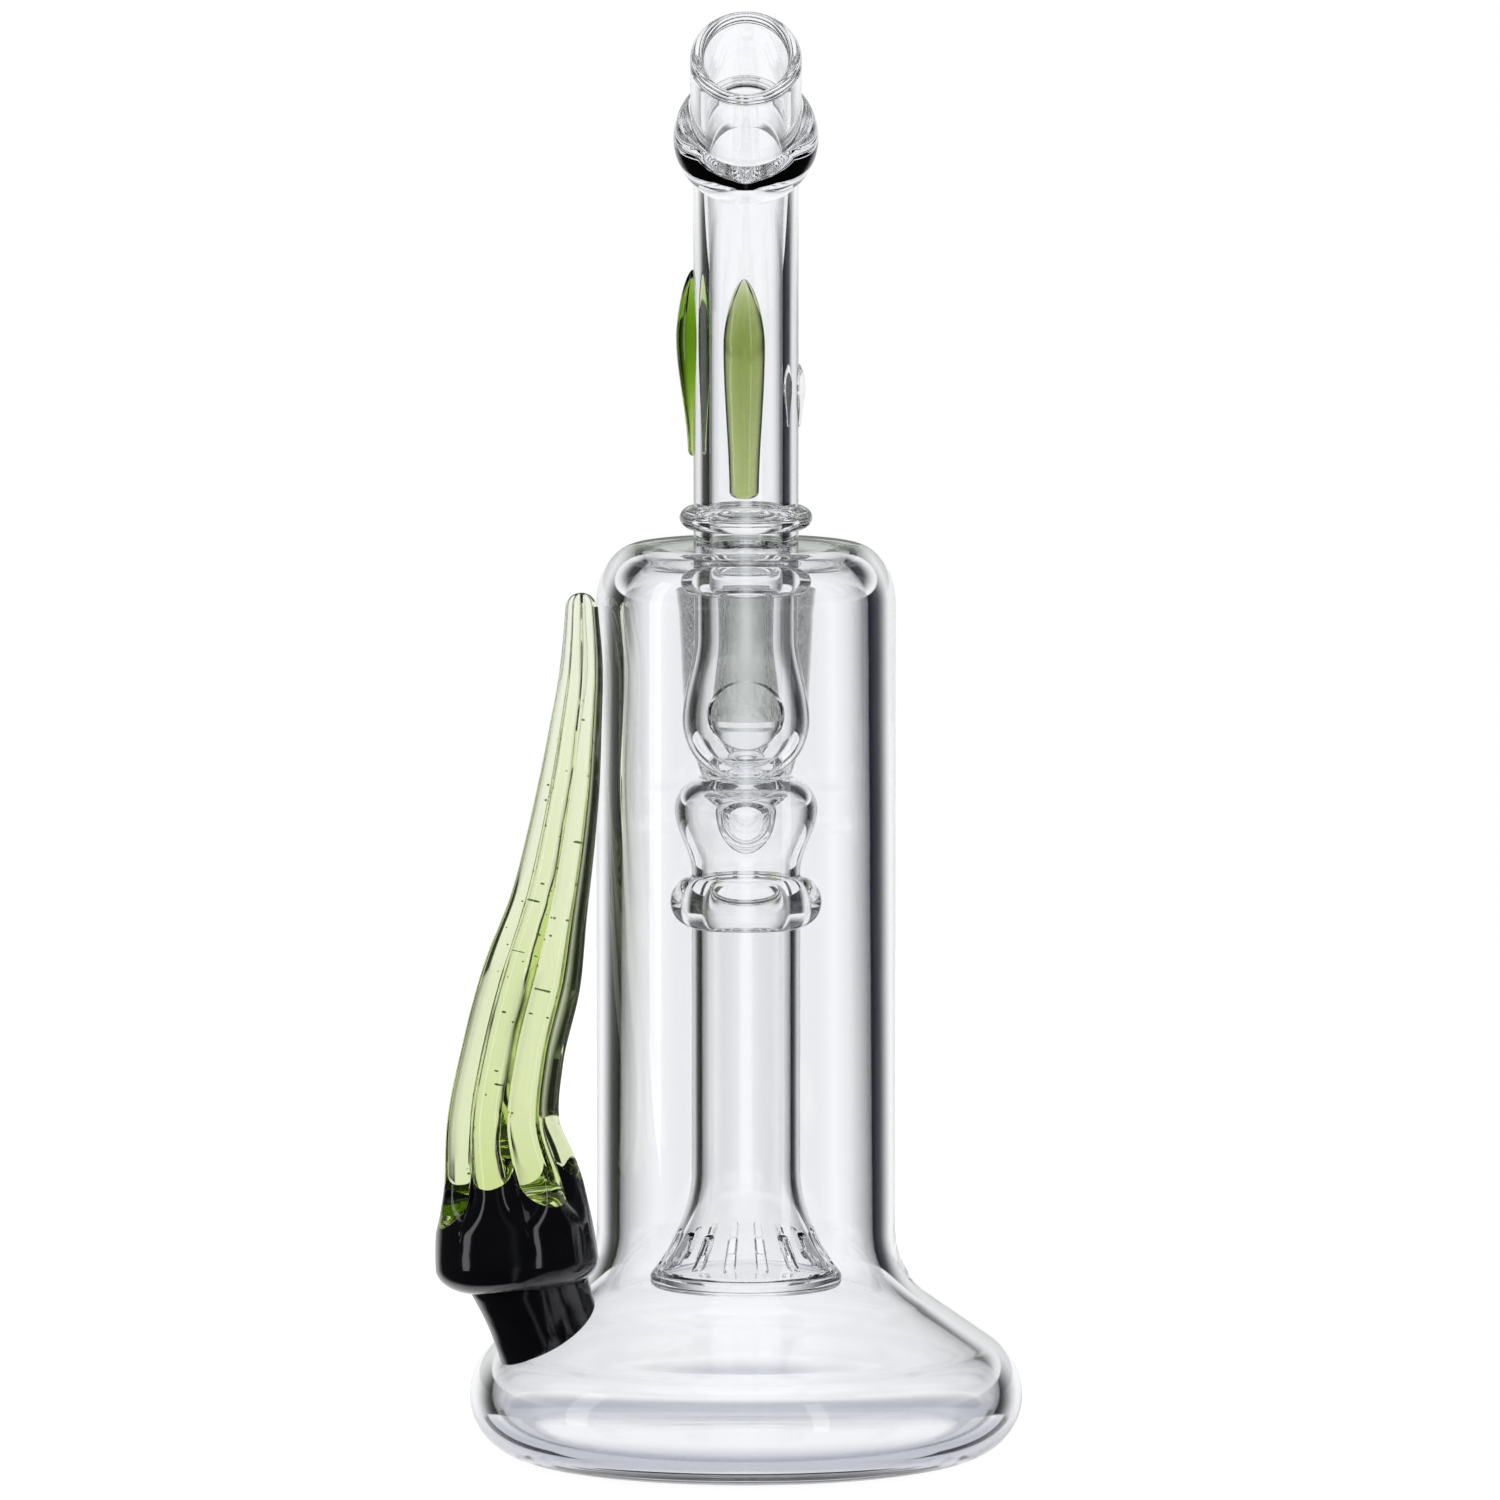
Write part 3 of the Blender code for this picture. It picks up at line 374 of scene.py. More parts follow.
def glass(name, tint, edge_shade, roughness, absorb=None, wave_scale=45.0, wave=0.02):
    """Clear or coloured glass: a tint, with painted shade for dark edge lines mixed in where it is seen
    edge on, and a hand-worked waviness.
    """
    material = bpy.data.materials.new(name)
    material.use_nodes = True
    nodes, links = material.node_tree.nodes, material.node_tree.links
    shader = nodes["Principled BSDF"]
    shader.inputs["Roughness"].default_value = roughness
    shader.inputs["IOR"].default_value = GLASS_IOR
    shader.inputs["Transmission Weight"].default_value = 1.0
    facing = nodes.new("ShaderNodeLayerWeight")
    facing.inputs["Blend"].default_value = EDGE_BLEND
    edge = math_node(nodes, links, "POWER", facing.outputs["Facing"], EDGE_POWER)
    place = nodes.new("ShaderNodeTexCoord")
    cloud = nodes.new("ShaderNodeTexNoise")
    cloud.inputs["Scale"].default_value = wave_scale
    cloud.inputs["Detail"].default_value = 2.0
    links.new(place.outputs["Object"], cloud.inputs["Vector"])
    # Painted shade: the tint turns towards the edge shade where the glass is seen edge on, for its dark
    # edge lines.
    mix = nodes.new("ShaderNodeMix")
    mix.data_type = "RGBA"
    mix.inputs[6].default_value = (*tint, 1.0)
    mix.inputs[7].default_value = (*edge_shade, 1.0)
    links.new(edge, mix.inputs[0])
    links.new(mix.outputs[2], shader.inputs["Base Color"])
    bump = nodes.new("ShaderNodeBump")
    bump.inputs["Strength"].default_value = wave
    bump.inputs["Distance"].default_value = WAVE_DEPTH
    links.new(cloud.outputs["Fac"], bump.inputs["Height"])
    links.new(bump.outputs["Normal"], shader.inputs["Normal"])
    if absorb:
        colour, density = absorb
        depth = nodes.new("ShaderNodeVolumeAbsorption")
        depth.inputs["Color"].default_value = (*colour, 1.0)
        depth.inputs["Density"].default_value = density
        links.new(depth.outputs[0], nodes["Material Output"].inputs["Volume"])
    return material


def dress(obj, material, slot, *nodes):
    """Gives a piece its material, hangs it on the root body and hides the parts of the frame that it stands
    for.
    """
    obj.data.materials.clear()
    for finish in material if isinstance(material, list) else [material]:
        obj.data.materials.append(finish)
    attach(obj, "root")
    if nodes:
        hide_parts(*nodes)


def bell_side(offset):
    """The foot's side from the can to the resting face: three tangent arcs, moved out by an offset."""
    normal = (math.sin(FOOT_SLOPE), math.cos(FOOT_SLOPE))
    slope_deg = 90 - math.degrees(FOOT_SLOPE)
    lip = (FOOT_RADIUS - LIP_UPPER, LIP_LOWER)
    fillet_r = CAN_RADIUS + FOOT_FILLET
    reach = lip[0] * normal[0] + lip[1] * normal[1] + LIP_UPPER + FOOT_FILLET
    fillet = (fillet_r, (reach - fillet_r * normal[0]) / normal[1])
    heel = (FOOT_RADIUS - LIP_LOWER, LIP_LOWER)
    turn_out = arc(fillet, FOOT_FILLET - offset, FOOT_FILLET - offset, 180, 180 + slope_deg, 28)
    roll = arc(lip, LIP_UPPER + offset, LIP_UPPER + offset, slope_deg, 0, 24)
    under = arc(heel, LIP_LOWER + offset, LIP_LOWER + offset, 0, -90, 28)
    return np.vstack([turn_out, line(turn_out[-1], roll[0], 14)[1:-1], roll, under[1:]])


def step_node(nodes, links, value, start, end):
    """Smooth step of a value in metres: nought at start and one at end, given in mm."""
    node = nodes.new("ShaderNodeMapRange")
    node.interpolation_type = "SMOOTHSTEP"
    node.inputs["From Min"].default_value = start * MM
    node.inputs["From Max"].default_value = end * MM
    links.new(value, node.inputs["Value"])
    return node.outputs["Result"]


def paint_lip_reflection(material):
    """Adds a painted reflection at the foot's lip: a lavender grey for darker surroundings, low down, and
    outside the floor.
    """
    nodes, links = material.node_tree.nodes, material.node_tree.links
    shader = nodes["Principled BSDF"]
    plain = shader.inputs["Base Color"].links[0].from_socket
    place = nodes.new("ShaderNodeTexCoord")
    split = nodes.new("ShaderNodeSeparateXYZ")
    links.new(place.outputs["Object"], split.inputs[0])
    flat = nodes.new("ShaderNodeCombineXYZ")
    links.new(split.outputs["X"], flat.inputs["X"])
    links.new(split.outputs["Y"], flat.inputs["Y"])
    out = nodes.new("ShaderNodeVectorMath")
    out.operation = "LENGTH"
    links.new(flat.outputs[0], out.inputs[0])
    low = math_node(nodes, links, "SUBTRACT", 1.0,
                    step_node(nodes, links, split.outputs["Z"], LIP_REFLECTION_FULL, LIP_REFLECTION_TOP))
    at_lip = step_node(nodes, links, out.outputs["Value"], LIP_REFLECTION_INNER, LIP_REFLECTION_OUTER)
    mix = nodes.new("ShaderNodeMix")
    mix.data_type = "RGBA"
    links.new(math_node(nodes, links, "MULTIPLY", low, at_lip), mix.inputs[0])
    links.new(plain, mix.inputs[6])
    mix.inputs[7].default_value = (*LIP_PAINTED_REFLECTION, 1.0)
    links.new(mix.outputs[2], shader.inputs["Base Color"])


CLEAR = glass("clear_borosilicate", CLEAR_TINT, CLEAR_EDGE_SHADE, 0.0)
BODY_CLEAR = glass("body_borosilicate", CLEAR_TINT, CLEAR_EDGE_SHADE, 0.0)
# Painted reflection of darker surroundings at the foot's lip.
paint_lip_reflection(BODY_CLEAR)
foot_inside = bell_side(-FOOT_WALL)[::-1]
foot_inside = foot_inside[foot_inside[:, 1] > FLOOR_TOP]
floor_inner = FOOT_RADIUS - LIP_LOWER
floor_line = line((0.0, FLOOR_TOP), (floor_inner, FLOOR_TOP), 30)
floor_line[:, 1] += FLOOR_DOME * np.cos(np.pi / 2 * floor_line[:, 0] / floor_inner) ** 2
deck_hole = NECK_RADIUS + FUSED
inner_drop = SHOULDER_DROP - (DECK_TOP - DECK_UNDER)
inner_turn = (CAN_BORE - SHOULDER_RUN, DECK_UNDER - inner_drop)
outer_turn = (CAN_RADIUS - SHOULDER_RUN, DECK_TOP - SHOULDER_DROP)
shoulder_in = arc(inner_turn, SHOULDER_RUN, inner_drop, 0, 90, 24)
shoulder_out = arc(outer_turn, SHOULDER_RUN, SHOULDER_DROP, 90, 0, 24)
foot_outside = bell_side(0.0)
underside = line((floor_inner, 0.0), (0.0, 0.0), 30)
underside[:, 1] += UNDERSIDE_DOME * np.cos(np.pi / 2 * underside[:, 0] / floor_inner) ** 2
can_profile = np.vstack([
    floor_line,
    foot_inside,
    line(foot_inside[-1], shoulder_in[0], 20)[1:-1],
    shoulder_in,
    line(shoulder_in[-1], (deck_hole, DECK_UNDER), 8)[1:],
    line((deck_hole, DECK_TOP), shoulder_out[0], 8)[:-1],
    shoulder_out,
    line(shoulder_out[-1], foot_outside[0], 20)[1:-1],
    foot_outside,
    underside[1:],
])
can = skin("can_and_foot", [spun(can_profile, 160)])
wall_inner = (0, CAN_BORE - HOLE_REACH, INLET_HEIGHT)
wall_outer = (0, CAN_RADIUS + HOLE_REACH, INLET_HEIGHT)
pierce(can, [rod("wall_hole", wall_inner, wall_outer, INLET_RADIUS + FUSED)])
dress(can, BODY_CLEAR, "clear_glass", "can_body", "bell_foot")

# Neck: one drawn tube, bent forward, with rings pushed up in it at the deck and below the mouth.
# The mouth is cut square and fire polished to a round lip.
NECK_FOOT = 121.6
NECK_BORE = 5.15
BEND_START = 158.0
BEND_RADIUS = 33.0
BEND_STEP = 0.8
NECK_LEAN = math.radians(53.5)
BEND_LENGTH = BEND_RADIUS * NECK_LEAN
AFTER_BEND = 2.85
TIP_START = BEND_START + BEND_LENGTH + AFTER_BEND
MOUTH_RADIUS = 7.7
MOUTH_BORE = 5.75
MOUTH_BLEND = 3.0
MOUTH_GAP = 0.3
MOUTH_LENGTH = 20.85
MOUTH_END = TIP_START + MOUTH_GAP + MOUTH_LENGTH
# A ring is the height of its middle along the neck, how long it is and its radius.
MOUTH_RING = (TIP_START + MOUTH_GAP / 2, 9.4, 10.05)
UPPER_RING = (132.0, 3.4, 9.3)
LOWER_RING = (123.9, 4.2, 9.1)
RING_ROUND = 0.6


def neck_frame(s):
    """Middle line of the neck at length s along it: straight, round a circular bend, then straight on."""
    s = np.asarray(s, dtype=float)
    bend = np.clip(s - BEND_START, 0.0, BEND_LENGTH) / BEND_RADIUS
    beyond = np.clip(s - BEND_START - BEND_LENGTH, 0.0, None)
    y = -BEND_RADIUS * (1 - np.cos(bend)) - beyond * math.sin(NECK_LEAN)
    z = np.minimum(s, BEND_START) + BEND_RADIUS * np.sin(bend) + beyond * math.cos(NECK_LEAN)
    middle = np.stack([np.zeros_like(s), y, z], axis=-1)
    side = np.stack([np.ones_like(s), np.zeros_like(s), np.zeros_like(s)], axis=-1)
    back = np.stack([np.zeros_like(s), np.cos(bend), np.sin(bend)], axis=-1)
    return middle, side, back


def about_neck(s, radius, turn):
    """Points at a distance from the neck's middle line: middle + radius (cos u side + sin u back)."""
    middle, side, back = neck_frame(s)
    return middle + radius[..., None] * (np.cos(turn)[..., None] * side + np.sin(turn)[..., None] * back)


def eased(start, end, share):
    """Leaves start and reaches end with no kink: start + (end - start) t t (3 - 2 t)."""
    t = np.clip(share, 0.0, 1.0)
    return start + (end - start) * t * t * (3 - 2 * t)


def swollen(s, radius, ring):
    """Radius with a melted ring on it: radius + rise (1 - t t) to a power, t from middle to edge."""
    centre, height, top = ring
    share = np.clip(np.abs(s - centre) / (height / 2), 0.0, 1.0)
    return radius + (top - radius) * (1 - share ** 2) ** RING_ROUND


def over_ring(ring, count=48):
    """Heights down over a ring, closer together towards its two edges."""
    return ring[0] + ring[1] / 2 * np.cos(np.linspace(0, np.pi, count))


lip_round = (MOUTH_RADIUS - MOUTH_BORE) / 2
lip_end = MOUTH_END - lip_round
ring_down = [over_ring(ring) for ring in (MOUTH_RING, UPPER_RING, LOWER_RING)]
neck_down = np.concatenate([np.linspace(lip_end, ring_down[0][0], 16)[:-1], ring_down[0],
                            np.linspace(ring_down[0][-1], ring_down[1][0], 60)[1:-1], ring_down[1],
                            np.linspace(ring_down[1][-1], ring_down[2][0], 8)[1:-1], ring_down[2],
                            np.linspace(ring_down[2][-1], NECK_FOOT, 4)[1:]])
tube_radius = eased(NECK_RADIUS, MOUTH_RADIUS, (neck_down - TIP_START + MOUTH_BLEND / 2) / MOUTH_BLEND)
for ring in (MOUTH_RING, UPPER_RING, LOWER_RING):
    tube_radius = swollen(neck_down, tube_radius, ring)
neck_up = np.concatenate([np.linspace(NECK_FOOT, BEND_START, 24),
                          np.linspace(BEND_START + BEND_STEP, lip_end, 60)])
bore_radius = eased(NECK_BORE, MOUTH_BORE, (neck_up - TIP_START + MOUTH_BLEND / 2) / MOUTH_BLEND)
lip = arc((MOUTH_RADIUS - lip_round, lip_end), lip_round, lip_round, 180, 0, 20)[1:-1]
neck_s = np.concatenate([lip[:, 1], neck_down, neck_up])
neck_r = np.concatenate([lip[:, 0], tube_radius, bore_radius])
NECK_SIDES = 96
neck_turn = np.linspace(0, 2 * np.pi, NECK_SIDES, endpoint=False)
neck_grid = about_neck(np.repeat(neck_s[:, None], NECK_SIDES, 1),
                       np.repeat(neck_r[:, None], NECK_SIDES, 1),
                       np.repeat(neck_turn[None, :], len(neck_s), 0))
neck = skin("neck_pipe", [neck_grid], wrap=True)
dress(neck, CLEAR, "clear_glass", "neck_tube", "mouthpiece", "upper_neck_ring", "lower_neck_ring",
      "mouth_ring")

# Splash guard: a closed pear of clear glass, blown on the lower end of the neck.
# A round window is pierced in its front, and its bottom rests on the percolator.
GUARD_TOP = NECK_FOOT - FUSED
GUARD_CENTRE = 103.8
GUARD_RADIUS = 8.9
GUARD_WALL = 1.9
GUARD_TOP_RADIUS = 7.2
GUARD_STRAIGHT = 0.35
WINDOW_RADIUS = 4.8
WINDOW_HEIGHT = 105.0
guard_down = np.linspace(0, 1, 30)
guard_swell = (guard_down - GUARD_STRAIGHT) / (1 - GUARD_STRAIGHT)
guard_side = np.stack([eased(GUARD_TOP_RADIUS, GUARD_RADIUS, guard_swell),
                       GUARD_TOP + (GUARD_CENTRE - GUARD_TOP) * guard_down], axis=1)
guard_bowl = arc((0.0, GUARD_CENTRE), GUARD_RADIUS, GUARD_RADIUS, 0, -90, 30)
guard_bowl[-1, 0] = 0.0
guard_bore = GUARD_RADIUS - GUARD_WALL
hollow = arc((0.0, GUARD_CENTRE), guard_bore, guard_bore, -90, 0, 30)
hollow[0, 0] = 0.0
guard_inside = (guard_side - (GUARD_WALL, 0.0))[::-1]
guard_profile = np.vstack([hollow, guard_inside[1:], guard_side, guard_bowl[1:]])
guard = skin("splash_pear", [spun(guard_profile, 128)])
window_front = (0, -2 * GUARD_RADIUS, WINDOW_HEIGHT)
pierce(guard, [rod("pear_window", window_front, (0, 0, WINDOW_HEIGHT), WINDOW_RADIUS)])
dress(guard, CLEAR, "clear_glass", "splash_guard")

# Weld: a small bead of clear glass where the pear stands on the percolator.
# It is run round the seam with a thin rod, so it is a ring of nearly round section.
BEAD_RADIUS = 3.0
BEAD_HEIGHT = 94.92
BEAD_RUN = 0.5
BEAD_RISE = 0.46
bead_section = arc((BEAD_RADIUS, BEAD_HEIGHT), BEAD_RUN, BEAD_RISE, 180, -170, 18)
bead = skin("weld_bead", [spun(bead_section, 64)], wrap=True)
dress(bead, CLEAR, "clear_glass", "guard_weld")

# Percolator: one blown tube with a bulb, a pushed-up ring, a straight stem and a flared showerhead.
# The showerhead is closed by a floor and sawn with slits, and the bulb takes the inlet at the back.
BULB_TOP = 96.2
BULB_CROWN = 5.0
BULB_DISH = 0.56
BULB_DISH_SPAN = 0.66
BULB_RADIUS = 10.0
STEM_RADIUS = 7.6
PERC_WALL = 1.4
WAIST = 82.4
PERC_RING = (78.2, 7.2, 10.6)
SKIRT_TOP = 40.4
SKIRT_EDGE = 25.2
SKIRT_RADIUS = 13.4
SKIRT_BOWED = 0.65
SHOWER_BOTTOM = 23.0
SHOWER_FLOOR = 25.2
SHOWER_ROUND = 1.1
SHOWER_CORNER = 0.4
SLITS = 16
SLIT_INNER = 8.0
SLIT_OUTER = 16.0
# A saw cut's outline from its head down: height and half width.
SLIT_OUTLINE = ((31.8, 0.40), (31.4, 0.55), (27.2, 0.72), (26.8, 0.55))
BULB_HOLE = (4, 12)
bulb_shoulder = BULB_TOP - BULB_CROWN
ring_rows = over_ring(PERC_RING)
stem_down = np.concatenate([np.linspace(bulb_shoulder, ring_rows[0], 20)[:-1], ring_rows,
                            np.linspace(ring_rows[-1], SKIRT_TOP, 20)[1:-1]])
stem_plain = eased(BULB_RADIUS, STEM_RADIUS, (bulb_shoulder - stem_down) / (bulb_shoulder - WAIST))
stem_ringed = swollen(stem_down, stem_plain, PERC_RING)
skirt_share = np.linspace(0, 1, 32)
skirt_bow = 1 - np.cos(np.pi / 2 * skirt_share)
skirt_flare = (1 - SKIRT_BOWED) * skirt_share ** 2 + SKIRT_BOWED * skirt_bow
skirt_side = np.stack([STEM_RADIUS + (SKIRT_RADIUS - STEM_RADIUS) * skirt_flare,
                       SKIRT_TOP + (SKIRT_EDGE - SKIRT_TOP) * skirt_share], axis=1)
crown_out = np.sin(np.linspace(0, np.pi / 2, 40))
crown_nest = np.clip(1 - (crown_out / BULB_DISH_SPAN) ** 2, 0, None)
crown_rise = np.sqrt(1 - np.clip(crown_out, 0, 1) ** 4) - BULB_DISH * crown_nest ** 2
crown = np.stack([BULB_RADIUS * crown_out, bulb_shoulder + BULB_CROWN * crown_rise], axis=1)
shower_flat = SKIRT_RADIUS - SHOWER_ROUND
rim = arc((shower_flat, SKIRT_EDGE - SHOWER_ROUND), SHOWER_ROUND, SHOWER_ROUND, 0, -90, 12)
perc_outside = np.vstack([crown, np.stack([stem_ringed, stem_down], axis=1)[1:], skirt_side, rim,
                          line((shower_flat, SHOWER_BOTTOM), (0.0, SHOWER_BOTTOM), 12)[1:]])
crown_in = np.stack([(BULB_RADIUS - PERC_WALL) * crown_out,
                     bulb_shoulder + (BULB_CROWN - PERC_WALL) * crown_rise], axis=1)[::-1]
skirt_in = (skirt_side - (PERC_WALL, 0.0))[::-1]
skirt_in = skirt_in[skirt_in[:, 1] > SHOWER_FLOOR + SHOWER_CORNER]
floor_edge = (skirt_in[0][0] - SHOWER_CORNER, SHOWER_FLOOR)
perc_inside = np.vstack([line((0.0, SHOWER_FLOOR), floor_edge, 12), skirt_in,
                         np.stack([stem_plain - PERC_WALL, stem_down], axis=1)[::-1], crown_in[1:]])
perc = skin("percolator", [spun(perc_outside, 128), spun(perc_inside, 128)])


def slit_cutter(index):
    """One saw cut in the showerhead: a radial slab, wider at its foot than at its head."""
    turn = 2 * math.pi * (index + 0.5) / SLITS
    out = np.array([math.cos(turn), math.sin(turn), 0.0])
    aside = np.array([-math.sin(turn), math.cos(turn), 0.0])
    rows = []
    for height, half in SLIT_OUTLINE:
        corners = [(SLIT_INNER, -half), (SLIT_OUTER, -half), (SLIT_OUTER, half), (SLIT_INNER, half)]
        rows.append([out * reach + aside * shift + (0, 0, height) for reach, shift in corners])
    rows = np.array(rows)
    top = np.repeat(rows[:1].mean(axis=1, keepdims=True), 4, axis=1)
    bottom = np.repeat(rows[-1:].mean(axis=1, keepdims=True), 4, axis=1)
    return skin("slit_%02d" % index, [np.concatenate([top, rows, bottom])])


hole_ends = [(0, y, INLET_HEIGHT) for y in BULB_HOLE]
inlet_hole = rod("bulb_hole", *hole_ends, INLET_RADIUS + FUSED)
pierce(perc, [inlet_hole] + [slit_cutter(index) for index in range(SLITS)])
dress(perc, CLEAR, "clear_glass", "perc_bulb", "perc_ring", "perc_stem", "shower_skirt", "shower_floor")

# Inlet: a clear tube from the bulb through the back wall of the can, sealed there with a melted ring.
# Outside the can it opens out round a quarter bend and turns up to carry the ground joint.
INLET_BORE = 2.6
INLET_START = 8.8
ELBOW_BEND = 11.0
ELBOW_RADIUS = 10.4
ELBOW_BORE = 8.0
JOINT_Y = 36.55
JOINT_FOOT = 100.7
SEAL_Y = 22.15
SEAL_RING = (SEAL_Y - INLET_START, 1.8, 6.2)
elbow_y = JOINT_Y - ELBOW_BEND
straight = elbow_y - INLET_START
elbow_length = ELBOW_BEND * math.pi / 2
inlet_end = straight + elbow_length + JOINT_FOOT - INLET_HEIGHT - ELBOW_BEND


def about_inlet(s, radius, turn):
    """Points about the inlet's middle line at length s: along +Y, round a quarter bend, then up."""
    bend = np.clip(s - straight, 0.0, elbow_length) / ELBOW_BEND
    rise = np.clip(s - straight - elbow_length, 0.0, None)
    y = INLET_START + np.minimum(s, straight) + ELBOW_BEND * np.sin(bend)
    z = INLET_HEIGHT + ELBOW_BEND * (1 - np.cos(bend)) + rise
    down = radius * np.sin(turn)
    return np.stack([radius * np.cos(turn), y + down * np.sin(bend), z - down * np.cos(bend)], axis=2)


seal_rows = over_ring(SEAL_RING, 30)
inlet_down = np.concatenate([np.linspace(inlet_end, straight, 40),
                             np.linspace(straight, seal_rows[0], 4)[1:-1],
                             seal_rows,
                             np.linspace(seal_rows[-1], 0.0, 10)[1:]])
inlet_up = inlet_down[::-1]
inlet_open = (inlet_down - straight) / elbow_length
inlet_out = eased(INLET_RADIUS, ELBOW_RADIUS, inlet_open)
inlet_out = swollen(inlet_down, inlet_out, SEAL_RING)
inlet_in = eased(INLET_BORE, ELBOW_BORE, inlet_open)[::-1]
inlet_s = np.concatenate([inlet_down, inlet_up])
inlet_r = np.concatenate([inlet_out, inlet_in])
INLET_SIDES = 64
inlet_turn = np.linspace(0, 2 * np.pi, INLET_SIDES, endpoint=False)
inlet_grid = about_inlet(np.repeat(inlet_s[:, None], INLET_SIDES, 1),
                         np.repeat(inlet_r[:, None], INLET_SIDES, 1),
                         np.repeat(inlet_turn[None, :], len(inlet_s), 0))
inlet = skin("inlet_elbow", [inlet_grid], wrap=True)
dress(inlet, CLEAR, "clear_glass", "inlet_tube", "inlet_seal_ring", "joint_elbow")

# Ground joint: a thick socket of clear glass, welded on the elbow, that takes a tapered adapter.
# Its outside and rim are fire polished, and its bore is ground to a frosted seat.
SOCKET_FOOT = JOINT_FOOT + FUSED
SOCKET_TOP = 124.7
SOCKET_BORE_FOOT = 8.2
SOCKET_BORE = 9.4
SOCKET_RIM = 13.4
SOCKET_BASE = 11.5
SOCKET_EDGE = 0.3
SOCKET_ROUND = 1.2
GROUND_MARGIN = 0.1
# Painted shade: a grey for the frosted bore, and a darker grey where it is seen edge on, for the dark
# surroundings its rough face scatters.
GROUND_PAINTED_GREY = (0.62, 0.65, 0.60)
GROUND_EDGE_SHADE = (0.50, 0.53, 0.50)
GROUND = glass("ground_glass", GROUND_PAINTED_GREY, GROUND_EDGE_SHADE, 0.45, wave_scale=900.0, wave=0.25)
bore_rows = line((SOCKET_BORE_FOOT, SOCKET_FOOT), (SOCKET_BORE, SOCKET_TOP - SOCKET_EDGE), 24)
mouth_turn = (SOCKET_BORE + SOCKET_EDGE, SOCKET_TOP - SOCKET_EDGE)
mouth_round = arc(mouth_turn, SOCKET_EDGE, SOCKET_EDGE, 180, 90, 6)
rim_turn = (SOCKET_RIM - SOCKET_ROUND, SOCKET_TOP - SOCKET_ROUND)
rim_round = arc(rim_turn, SOCKET_ROUND, SOCKET_ROUND, 90, 0, 14)
socket_out = line(rim_round[-1], (SOCKET_BASE, SOCKET_FOOT), 24)
socket_profile = np.vstack([bore_rows, mouth_round[1:], rim_round, socket_out[1:]])
socket = skin("ground_joint", [spun(socket_profile, 96, (0.0, JOINT_Y))], wrap=True)
face_out = np.array([face.center for face in socket.data.polygons]) / MM
in_bore = np.hypot(face_out[:, 0], face_out[:, 1] - JOINT_Y) < SOCKET_BORE + GROUND_MARGIN
dress(socket, [CLEAR, GROUND], "ground_glass", "joint_socket")
socket.data.polygons.foreach_set("material_index", in_bore.astype(np.int32))

# Neck drops: two leaves of dense yellow-green rod, in front and at the left, and a clear drop at the right.
# Each is melted on and drawn out along the neck while soft, to a point above and a blunt tail below.
LEAF_SEAT = NECK_RADIUS + FUSED
LEAF_BELLY = 0.64
LEAF_BLUNT = 0.03
POINT_BEND = 1.5
POINT_ROUND = 0.6
HEAD_FOOT = 0.56
HEAD_CURVE = 0.09
HEAD_STEP = 0.05
RIDGE = 1.3
# Painted shade: each green's edge colour is what it turns to where it is seen edge on, for its dark edge
# lines.
FRONT_TINT = (0.96, 0.98, 0.90)
FRONT_EDGE_SHADE = (0.62, 0.72, 0.30)
SIDE_TINT = (0.96, 0.98, 0.88)
SIDE_EDGE_SHADE = (0.62, 0.74, 0.22)
# An absorption is the colour that the glass lets through and its density.
FRONT_ABSORB = ((0.497, 0.584, 0.093), 1250.0)
SIDE_ABSORB = ((0.568, 0.728, 0.03), 900.0)
GREEN_ROUGHNESS = 0.02
LEAF_WAVE = {"wave_scale": 160.0, "wave": 0.06}
LEAF_GREEN = glass("leaf_green", FRONT_TINT, FRONT_EDGE_SHADE, GREEN_ROUGHNESS, FRONT_ABSORB, **LEAF_WAVE)
SIDE_GREEN = glass("side_leaf_green", SIDE_TINT, SIDE_EDGE_SHADE, GREEN_ROUGHNESS, SIDE_ABSORB, **LEAF_WAVE)
# A place is the turn round the neck, the lower end and the length. A form is the half width,
# the thickness, the tail's share of the width and the extra thickness of the head.
for drop_name, drop_node, finish, slot, place, form in (
    ("leaf_drop_front", "front_leaf", LEAF_GREEN, "green_glass",
     (-92.0, 135.2, 33.4), (2.95, 1.8, 0.70, 0.12)),
    ("leaf_drop_side", "side_leaf", SIDE_GREEN, "green_glass",
     (180.0, 140.6, 26.3), (2.75, 2.4, 0.30, 0.0)),
    ("neck_drop_clear", "clear_drop", CLEAR, "clear_glass",
     (0.0, 144.7, 8.8), (1.8, 0.95, 0.30, 0.0)),
):
    turn_deg, start, length = place
    half_width, thickness, tail_width, head = form
    share = np.sin(np.linspace(np.pi / 2, -np.pi / 2, 90)) * 0.5 + 0.5
    beyond = np.clip((share - LEAF_BELLY) / (1 - LEAF_BELLY), 0, 1)
    upper = (1 - beyond ** POINT_BEND) ** POINT_ROUND
    lower = eased(tail_width, 1.0, share / LEAF_BELLY)
    tail = np.sqrt(1 - np.clip(1 - share / LEAF_BLUNT, 0, 1) ** 2)
    swell = (upper * lower * tail)[:, None]
    around = np.linspace(0, 2 * np.pi, 48, endpoint=False)[None, :]
    head_foot = HEAD_FOOT + HEAD_CURVE * np.cos(around) ** 2
    bulge = swell * eased(1.0, 1.0 + head, (share[:, None] - head_foot) / HEAD_STEP)
    spread = np.cos(around) * half_width * swell / LEAF_SEAT
    lift = LEAF_SEAT + np.clip(np.sin(around), 0, None) ** RIDGE * thickness * bulge
    along = start + length * share[:, None] + 0 * around
    drop = skin(drop_name, [about_neck(along, lift, math.radians(turn_deg) - spread)])
    dress(drop, finish, slot, drop_node)

